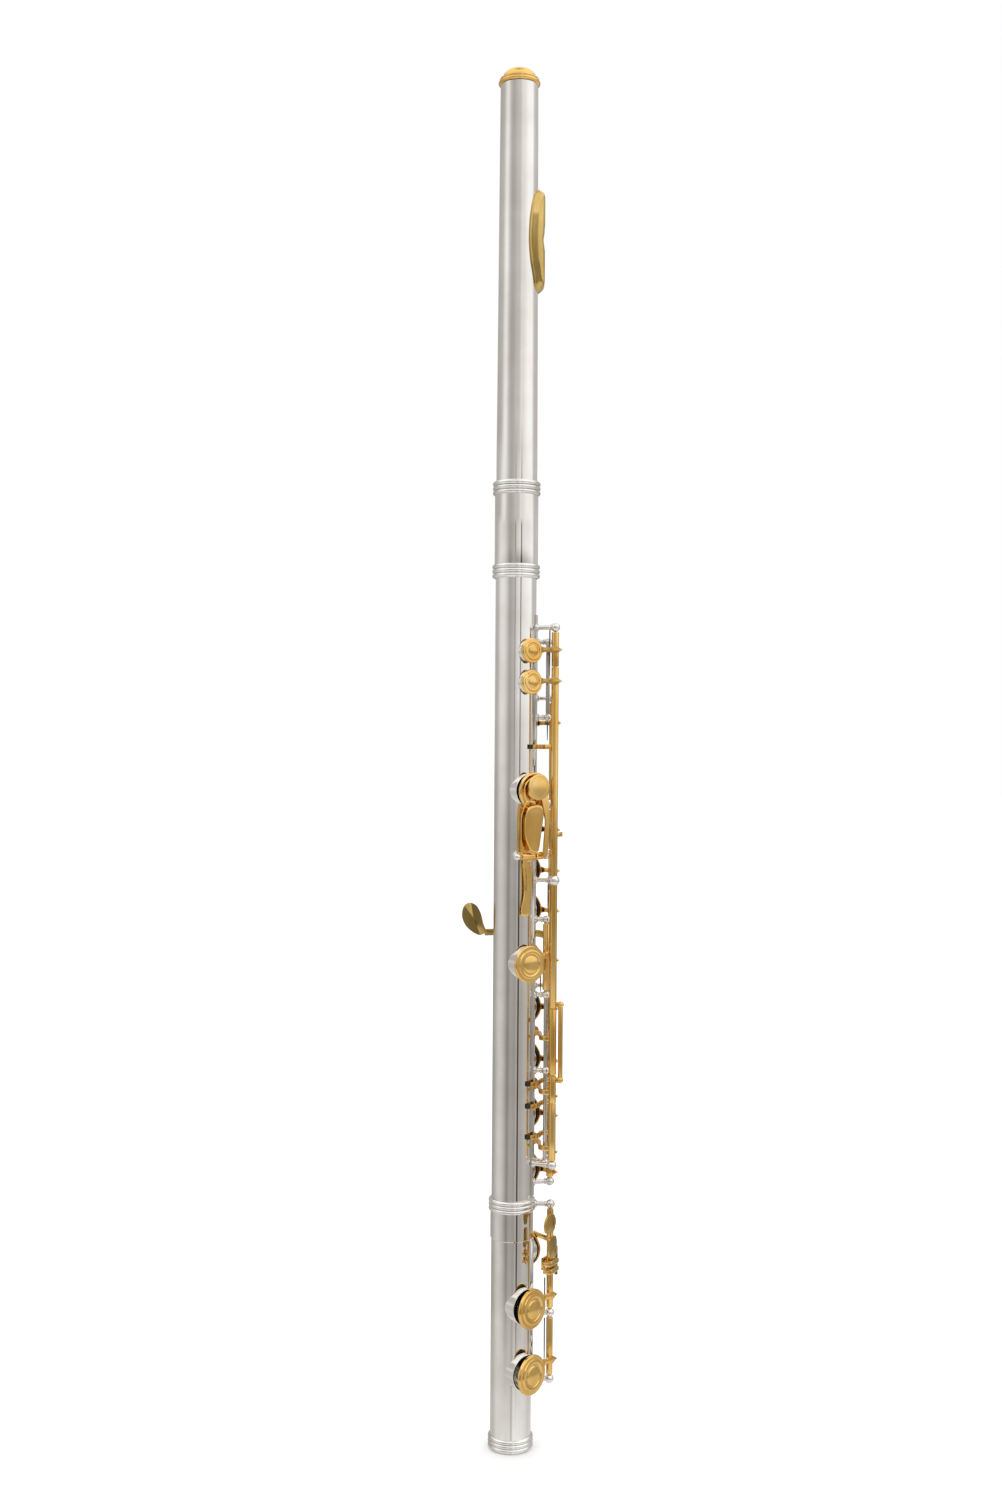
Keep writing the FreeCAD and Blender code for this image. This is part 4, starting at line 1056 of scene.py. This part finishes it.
def dTrill():
    s = trillShape
    x, y = lines["trill"]
    outside = (x + s["bridgeOut"], y)
    parts = [cup("thumb", 369.4, 6.0), pointedArm("trill", "thumb", 369.4, 6.0, 1.75, 3.4, 0.6),
             trillHub(213.0, 376.6), trillHub(167.4, 180.4), solidRod(*s["bridge"], 1.15, outside, "goldKey")]
    for z in s["bridge"]:
        knob = turned("knob", [(0, -1.55)] + arc(0, 0, 1.55, -80, 80, 12) + [(0, 1.55)], "goldKey", 28,
                      Matrix.Translation((*outside, z)))
        parts += [knob, flatBar(((x + 1.0, y), (x + s["bridgeOut"], y)), z, 2.4, 1.6)]
    parts += trillLever(172.3) + [hubPoint(170.8)]
    show(joined("dTrillKey", parts), "d_trill", "goldKey", "d_trill_key")
    show(joined("dTrillPad", [pad("thumb", 369.4, 6.0)]), "d_trill", "padSkin", "d_trill_pad")


def dSharpTrill():
    parts = [cup("thumb", 384.4, 6.0), pointedArm("trill", "thumb", 384.4, 6.0, 1.75, 3.4, 0.6),
             trillHub(377.0, 393.4, 0.52), trillHub(139.8, 167.0, 0.52),
             solidRod(141.5, 392.0, 1.0, lines["trill"], "goldKey")]
    parts += trillLever(145.3) + [hubPoint(144.0)]
    show(joined("dSharpTrillKey", parts), "dsharp_trill", "goldKey", "dsharp_trill_key")
    show(joined("dSharpTrillPad", [pad("thumb", 384.4, 6.0)]), "dsharp_trill", "padSkin", "dsharp_trill_pad")


def sideLever():
    push = (19.6, -1.0)
    parts = [trillHub(181.0, 212.4), flatBar(((19.0, -6.3), (19.5, -3.6), push), 205.2, 2.4, 1.2),
             solidRod(204.0, 297.0, 0.6, push, "goldKey", 16),
             flatBar((push, (21.6, 0.9), (22.9, 3.4), (22.8, 6.0)), 295.9, 2.2, 1.0)]
    show(joined("sideLever", parts + trillLever(198.2, 5.0)), "bb_lever", "goldKey", "bb_side_lever")


gSharpShape = {
    "arm": ((15.7, -1.5), (15.2, 2.0), (13.6, 6.4), (9.8, 11.2), (4.2, 14.2), (-2.0, 14.9), (-8.2, 14.1),
            (-13.9, 12.0)),
    "armZ": 247.0, "hub": (221.0, 252.8),
    "leaf": ((247.3, 13.6), (251.2, 14.9), (256.3, 16.2), (260.2, 18.4), (261.75, 21.8), (259.8, 24.8),
             (255.4, 25.65), (250.8, 24.0), (247.5, 20.6), (245.7, 16.8)),
}


def gSharp():
    s = gSharpShape
    leaf = plate(roundLoop([(z, x) for z, x in s["leaf"]], 6), 0.0, 1.05, 0.3, "goldSatinPaintedShade")
    stand = Matrix(((0, -1, 0, 0), (0, 0, 1, 11.45), (1, 0, 0, 0), (0, 0, 0, 1)))
    pivot = Matrix.Translation((-13.4, 12.1, 0))
    placed(leaf, pivot @ Matrix.Rotation(math.radians(12), 4, "Z") @ pivot.inverted() @ stand)
    parts = [cup("thumb", 234.5, 8.9), pointedArm("side", "thumb", 234.5, 8.9, 1.6, 2.2, 3.5),
             hollowRod(*s["hub"], 1.6, 1.08, lines["side"], "goldKey"),
             flatBar(s["arm"], s["armZ"], 3.2, 1.7, "goldSatinPaintedShade"), leaf]
    show(joined("gSharpKey", parts), "gsharp", "goldKey", "gsharp_key")
    show(joined("gSharpPad", [pad("thumb", 234.5, 8.9)]), "gsharp", "padSkin", "gsharp_pad")


dTrill()
dSharpTrill()
sideLever()
gSharp()
print("trill and side keys made")


# thumb keys

thumbShape = {
    "cupZ": 317.5, "cupRadius": 8.7,
    "arm": ((0.5, 3.6), (10, 4.2), (20, 4.4), (25.7, 3.6), (26.6, 5.4), (20, 7.6), (10, 7.4), (0.5, 6.6)),
    "plate": ((2.0, 1.0), (3.2, -1.2), (12.0, -2.2), (20.5, -2.9), (24.2, -1.2), (24.6, 3.4), (22.6, 6.6),
              (16.0, 7.6), (8.5, 6.6), (3.0, 3.6)),
    "tail": ((1.0, 3.5), (-4.0, 3.5), (-10, 2.9), (-16, 2.6), (-22, 3.1), (-28.2, 4.0), (-29.2, 1.6),
             (-28.4, -0.7), (-20, -1.2), (-12, -1.3), (-6.5, -0.5), (-3.0, 0.9), (1.0, 1.2)),
    "lever": ((0.0, -3.0), (8, -3.9), (18, -4.2), (26, -3.2), (30.5, -1.0), (30.5, -4.6), (26, -6.2),
              (18, -6.6), (8, -6.2), (0.0, -5.4)),
    "discZ": 33.0, "discRadius": 6.2,
}


def thumbSwing(degrees):
    pivot = Matrix.Translation(thumbPoint(0, thumbHinge["reach"]))
    a = math.radians(rows["thumb"])
    across = Vector((-math.sin(a), math.cos(a), 0))
    return pivot @ Matrix.Rotation(math.radians(degrees), 4, across) @ pivot.inverted()


def thumbKeys():
    s = thumbShape
    here = outward(rows["thumb"], thumbHinge["z"])
    rest = thumbSwing(thumbOpen)
    parts = [placed(plate(roundLoop(s["arm"], 6), 14.12, 0.8, 0.1), here),
             placed(plate(roundLoop(s["plate"], 6), 17.0, 1.0, 0.45), here),
             placed(plate(roundLoop(s["tail"], 6), 12.9, 1.0, 0.25), here),
             block(rows["thumb"], (288.7, 293.7), (1.0, 4.0), (14.4, 17.2)),
             block(rows["thumb"], (283.7, 287.1), (-0.6, 3.4), (12.9, 15.5)),
             crossRod(-0.6, 7.1, 1.7, 0.78, "goldKey"), cup("thumb", s["cupZ"], s["cupRadius"])]
    show(joined("thumbKey", [placed(p, rest) for p in parts]), "thumb", "goldKey", "thumb_key")
    show(joined("thumbPad", [pad("thumb", s["cupZ"], s["cupRadius"], rest)]), "thumb", "padSkin", "thumb_pad")
    felt = block(rows["thumb"], (257.7, 260.7), (-0.2, 3.4), (12.28, 12.88), "felt", 0.1)
    show(joined("thumbFelt", [placed(felt, rest)]), "thumb", "felt", "thumb_felt")
    radius = s["discRadius"]
    disc = [(0, 19.2), (radius - 0.6, 19.2), (radius - 0.1, 19.6)] + arc(radius - 0.35, 20.0, 0.35, -20, 80, 5)
    disc += [(radius - 0.8, 20.32), (radius * 0.6, 20.42), (radius * 0.3, 20.5), (0, 20.53)]
    button = turned("disc", disc, "goldKey", 72, here @ Matrix.Translation((s["discZ"], 0.4, 0)))
    lever = [button, placed(plate(roundLoop(s["lever"], 6), 18.4, 0.95, 0.15), here),
             block(rows["thumb"], (285.9, 288.3), (-5.3, -3.3), (15.4, 19.2)),
             crossRod(-5.5, -1.0, 1.7, 0.78, "goldKey")]
    show(joined("thumbLever", lever), "thumb_bb", "goldKey", "thumb_bb_lever")


thumbKeys()
print("thumb keys made")


# foot keys

footShape = {
    "touchLow": 20.0, "touchY": -2.6, "rollerOut": 20.7, "rollerHalf": 3.9, "csharpRoller": 91.9, "cRoller": 88.2,
    "arm": ((18.9, -1.6), (20.3, -3.6), (20.6, -5.9), (19.9, -8.2)),
    "riserFoot": ((19.2, -1.6), (21.5, -2.6)), "riser": ((21.1, -1.9), (21.2, -3.9)),
    "eflatTouch": ((-3.8, 3.4), (0.0, 4.4), (3.6, 2.6), (4.6, -0.6), (3.4, -3.6), (0.0, -4.4), (-3.8, -3.4),
                   (-4.4, 0.0)),
    "csharpTouch": ((-4.6, 3.6), (0.0, 4.3), (4.4, 3.6), (5.0, 0.0), (4.2, -3.4), (0.0, -4.2), (-4.6, -3.6),
                    (-5.0, 0.0)),
}


def footTouch(points, z):
    loop = roundLoop([(x, y + footShape["touchY"]) for x, y in points], 7)
    return placed(plate(loop, footShape["touchLow"], 1.0, 0.3, "goldSatinPaintedShade"), outward(rows["touch"], z))


def rollerFork(z):
    s = footShape
    out, half, mid = s["rollerOut"], s["rollerHalf"], s["touchY"]
    low = mid - half - 1.1
    parts = [block(rows["touch"], (z - 0.9, z + 0.9), (y, y + 0.9), (out - 2.7, out + 1.0))
             for y in (low, mid + half + 0.2)]
    parts.append(block(rows["touch"], (z - 0.6, z + 0.6), (low, 2 * mid - low), (out - 2.7, out - 1.8)))
    spin = Matrix.Translation((0, mid, out)) @ Matrix.Rotation(math.radians(90), 4, "X")
    parts.append(turned("axle", [(0, -4.8), (0.4, -4.8), (0.4, 4.8), (0, 4.8)], "steelRod", 16,
                        outward(rows["touch"], z) @ spin))
    return parts


def roller(name, z, body, node):
    half = footShape["rollerHalf"]
    outline = [(0.48, -half), (1.0, -half)] + arc(1.0, 0.5 - half, 0.5, -90, 0, 4)
    outline += arc(1.0, half - 0.5, 0.5, 0, 90, 4) + [(0.48, half), (0.48, -half)]
    spin = Matrix.Translation((0, footShape["touchY"], footShape["rollerOut"])) @ \
        Matrix.Rotation(math.radians(90), 4, "X")
    piece = turned(name, outline, "goldSatinPaintedShade", 40, about("foot", keyOpen) @ outward(rows["touch"], z) @ spin)
    show(smoothed(piece), body, "goldSatinPaintedShade", node)


def footKeys():
    s = footShape
    rest = about("foot", keyOpen)
    line = lines["foot"]
    parts = [cup("eflat", 92.5, 9.0), pointedArm("foot", "eflat", 92.5, 9.0, 1.6, 3.0, 7.2),
             hollowRod(97.3, 115.0, 1.6, 0.78, line, "goldKey"), footTouch(s["eflatTouch"], 110.4),
             flatBar(s["arm"], 110.3, 3.0, 1.3)]
    show(joined("eFlatKey", parts), "eflat", "goldKey", "eflat_key")
    show(joined("eFlatPad", [pad("eflat", 92.5, 9.0)]), "eflat", "padSkin", "eflat_pad")

    link = (s["touchY"] - 0.9, s["touchY"] + 0.9)
    rollerZ = s["csharpRoller"]
    parts = [cup("foot", 70.0, 9.5), pointedArm("foot", "foot", 70.0, 9.5, 1.6, 3.4, 3.6),
             footTouch(s["csharpTouch"], 99.4), flatBar(s["riserFoot"], 86.9, 5.8, 1.3),
             flatBar(s["riser"], 90.9, 13.8, 1.3), flatBar(s["riser"] + s["arm"][-2:], 96.5, 2.6, 1.3),
             block(rows["touch"], (rollerZ - 0.5, 96.4), link, (s["rollerOut"] - 2.6, s["rollerOut"] - 1.8)),
             block(rows["touch"], (93.9, 96.4), link, (s["rollerOut"] - 2.6, s["touchLow"] + 0.3))]
    parts = [placed(p, rest) for p in parts + rollerFork(rollerZ)]
    parts.append(hollowRod(67.6, 90.0, 1.6, 1.18, line, "goldKey"))
    show(joined("lowCSharpKey", parts), "low_csharp", "goldKey", "low_csharp_key")
    show(joined("lowCSharpPad", [pad("foot", 70.0, 9.5, rest)]), "low_csharp", "padSkin", "low_csharp_pad")

    rollerZ = s["cRoller"]
    parts = [cup("foot", 38.5, 9.5), pointedArm("foot", "foot", 38.5, 9.5, 1.6, 3.4, 4.0),
             block(rows["touch"], (90.8, 93.2), (-10.2, s["touchY"] + 0.9), (15.0, 16.3)),
             block(rows["touch"], (rollerZ - 0.6, 93.2), link, (15.0, 16.3)),
             block(rows["touch"], (rollerZ - 0.6, rollerZ + 0.6), link, (15.0, s["rollerOut"] - 2.0))]
    parts = [placed(p, rest) for p in parts + rollerFork(rollerZ)]
    parts += [hollowRod(35.4, 96.9, 1.1, 0.78, line, "goldKey"), hollowRod(35.4, 62.6, 1.6, 1.0, line, "goldKey"),
              hollowRod(90.4, 96.9, 1.6, 1.0, line, "goldKey")]
    show(joined("lowCKey", parts), "low_c", "goldKey", "low_c_key")
    show(joined("lowCPad", [pad("foot", 38.5, 9.5, rest)]), "low_c", "padSkin", "low_c_pad")
    roller("cSharpRoller", s["csharpRoller"], "csharp_roller", "csharp_roller")
    roller("cRoller", s["cRoller"], "c_roller", "c_roller")


footKeys()
print("foot keys made")


# floor, light and camera

studio = {
    "cameraAt": (-6.8, -800.0, 342.0), "shiftUp": -0.0073, "roll": 0.395, "lens": 39.65, "plainLight": 1.5,
    "warm": (1.0, 0.955, 0.895), "cool": (1.0, 0.995, 0.985), "lowTo": (-0.08, 0.03), "highFrom": (0.14, 0.19),
    "footTo": (-0.40, -0.30), "skyFrom": (0.50, 0.62), "skyTo": (0.93, 0.99), "skyLevel": 1.05, "skyShare": 0.8,
    # brightness against degrees round from the front, for what the head and the foot end reflect
    "high": ((-180, 0.45), (-130, 0.47), (-100, 0.54), (-78, 0.90), (-66, 0.90), (-52, 0.60), (-38, 0.46),
             (-24, 0.48), (-5, 0.60), (3, 0.60), (12, 0.66), (19, 0.78), (23, 0.88), (27, 0.82), (36, 0.86),
             (46, 0.95), (60, 1.05), (90, 1.05), (98, 0.85), (106, 0.62), (125, 0.55), (180, 0.50)),
    "middle": ((-180, 0.52), (-123, 0.48), (-90, 0.82), (-74, 0.80), (-60, 0.74), (-48, 0.57), (-34, 0.41),
               (-14, 0.50), (-8, 0.52), (-6, 0.32), (-3, 0.32), (-1, 0.64), (12, 0.76), (23, 0.84), (25, 0.22),
               (29, 0.22), (31, 0.80), (46, 0.88), (88, 1.02), (98, 0.92), (106, 0.56), (125, 0.60),
               (180, 0.52)),
    "low": ((-180, 0.38), (-130, 0.40), (-96, 0.62), (-80, 0.66), (-60, 0.58), (-48, 0.46), (-40, 0.36),
            (-32, 0.27), (-24, 0.36), (-14, 0.42), (10, 0.36), (16, 0.46), (21, 0.46), (24, 0.05), (30, 0.05),
            (32, 0.44), (44, 0.42), (70, 0.52), (100, 0.46), (122, 0.38), (180, 0.38)),
    "foot": ((-180, 0.62), (-120, 0.58), (-90, 0.76), (-60, 0.80), (-40, 0.84), (-5, 0.78), (2, 0.54),
             (6, 0.60), (12, 0.90), (60, 0.86), (90, 0.78), (106, 0.68), (125, 0.70), (180, 0.80)),
}


def ringOfLight(paint, turn, levels):
    # levels above 1 need the ramp halved and doubled again
    stops = [((place + 180) / 360, (level / 2, level / 2, level / 2, 1)) for place, level in levels]
    ramp = paint.node("ShaderNodeValToRGB", {"stops": stops}, Fac=turn * (1 / 360) + 0.5)
    return paint.out(ramp) * 2.0


def makeWorld():
    world = bpy.data.worlds.new("studio")
    bpy.context.scene.world = world
    world.use_nodes = True
    paint = Finish(world.node_tree)
    place = paint.node("ShaderNodeTexCoord")
    parts = paint.node("ShaderNodeSeparateXYZ", i0=paint.out(place, 0))
    x, y, z = [paint.out(parts, i) for i in range(3)]
    turn = x.math("ARCTAN2", y * -1.0) * (180 / math.pi)  # 0 towards the front, 90 to the right
    s = studio
    upper = paint.span(z, *s["highFrom"])
    lower = 1 - paint.span(z, *s["lowTo"])
    under = 1 - paint.span(z, *s["footTo"])
    level = ringOfLight(paint, turn, s["high"]) * upper + ringOfLight(paint, turn, s["low"]) * lower
    level = level + ringOfLight(paint, turn, s["middle"]) * (1 - upper - lower)
    level = level * (1 - under) + ringOfLight(paint, turn, s["foot"]) * under
    sky = paint.span(z, *s["skyFrom"]) * (1 - paint.span(z, *s["skyTo"]))
    level = level * (1 - sky * s["skyShare"]) + sky * s["skyLevel"]
    colour = paint.mixColour(paint.span(level, 0.3, 0.95), (*s["warm"], 1), (*s["cool"], 1))
    shine = paint.node("ShaderNodeBackground", Color=colour, Strength=level)
    plain = paint.node("ShaderNodeBackground", Color=(1, 1, 1, 1), Strength=s["plainLight"])
    white = paint.node("ShaderNodeBackground", Color=(1, 1, 1, 1), Strength=1.0)
    path = paint.node("ShaderNodeLightPath")
    spread = paint.node("ShaderNodeMixShader", i0=paint.out(path, 2), i1=paint.out(shine), i2=paint.out(plain))
    mix = paint.node("ShaderNodeMixShader", i0=paint.out(path, 0), i1=paint.out(spread), i2=paint.out(white))
    output = paint.node("ShaderNodeOutputWorld")
    world.node_tree.links.new(mix.outputs[0], output.inputs[0])


def paleFloor(paint):
    grain = paint.noise(stretched(paint, 1, 1, 1), 90.0, 4.0)
    colour = paint.mixColour(grain, (0.86, 0.86, 0.86, 1), (0.90, 0.90, 0.90, 1))
    return paint.node("ShaderNodeBsdfPrincipled", Base_Color=colour, Roughness=0.85 + grain * 0.1)


def makeStage():
    material = finish("paleFloor", paleFloor)
    floor = meshObject("floor", [(-9000, -9000, -0.3), (9000, -9000, -0.3), (9000, 9000, -0.3), (-9000, 9000, -0.3)],
                       [(0, 1, 2, 3)])
    floor.data.materials.append(material)
    floor.visible_glossy = False


def makeCamera():
    s = studio
    data = bpy.data.cameras.new("camera")
    data.lens = s["lens"]
    data.sensor_width = 36.0
    data.shift_y = s["shiftUp"]
    data.clip_start = 0.01
    data.clip_end = 50.0
    camera = bpy.data.objects.new("camera", data)
    camera.matrix_world = Matrix.Translation(Vector(s["cameraAt"]) * mm) @ \
        Matrix.Rotation(math.radians(90), 4, "X") @ \
        Matrix.Rotation(math.radians(s["roll"]), 4, "Z")
    bpy.context.collection.objects.link(camera)
    bpy.context.scene.camera = camera


makeWorld()
makeStage()
makeCamera()
bpy.context.scene.view_settings.view_transform = "Standard"
print("stage made")
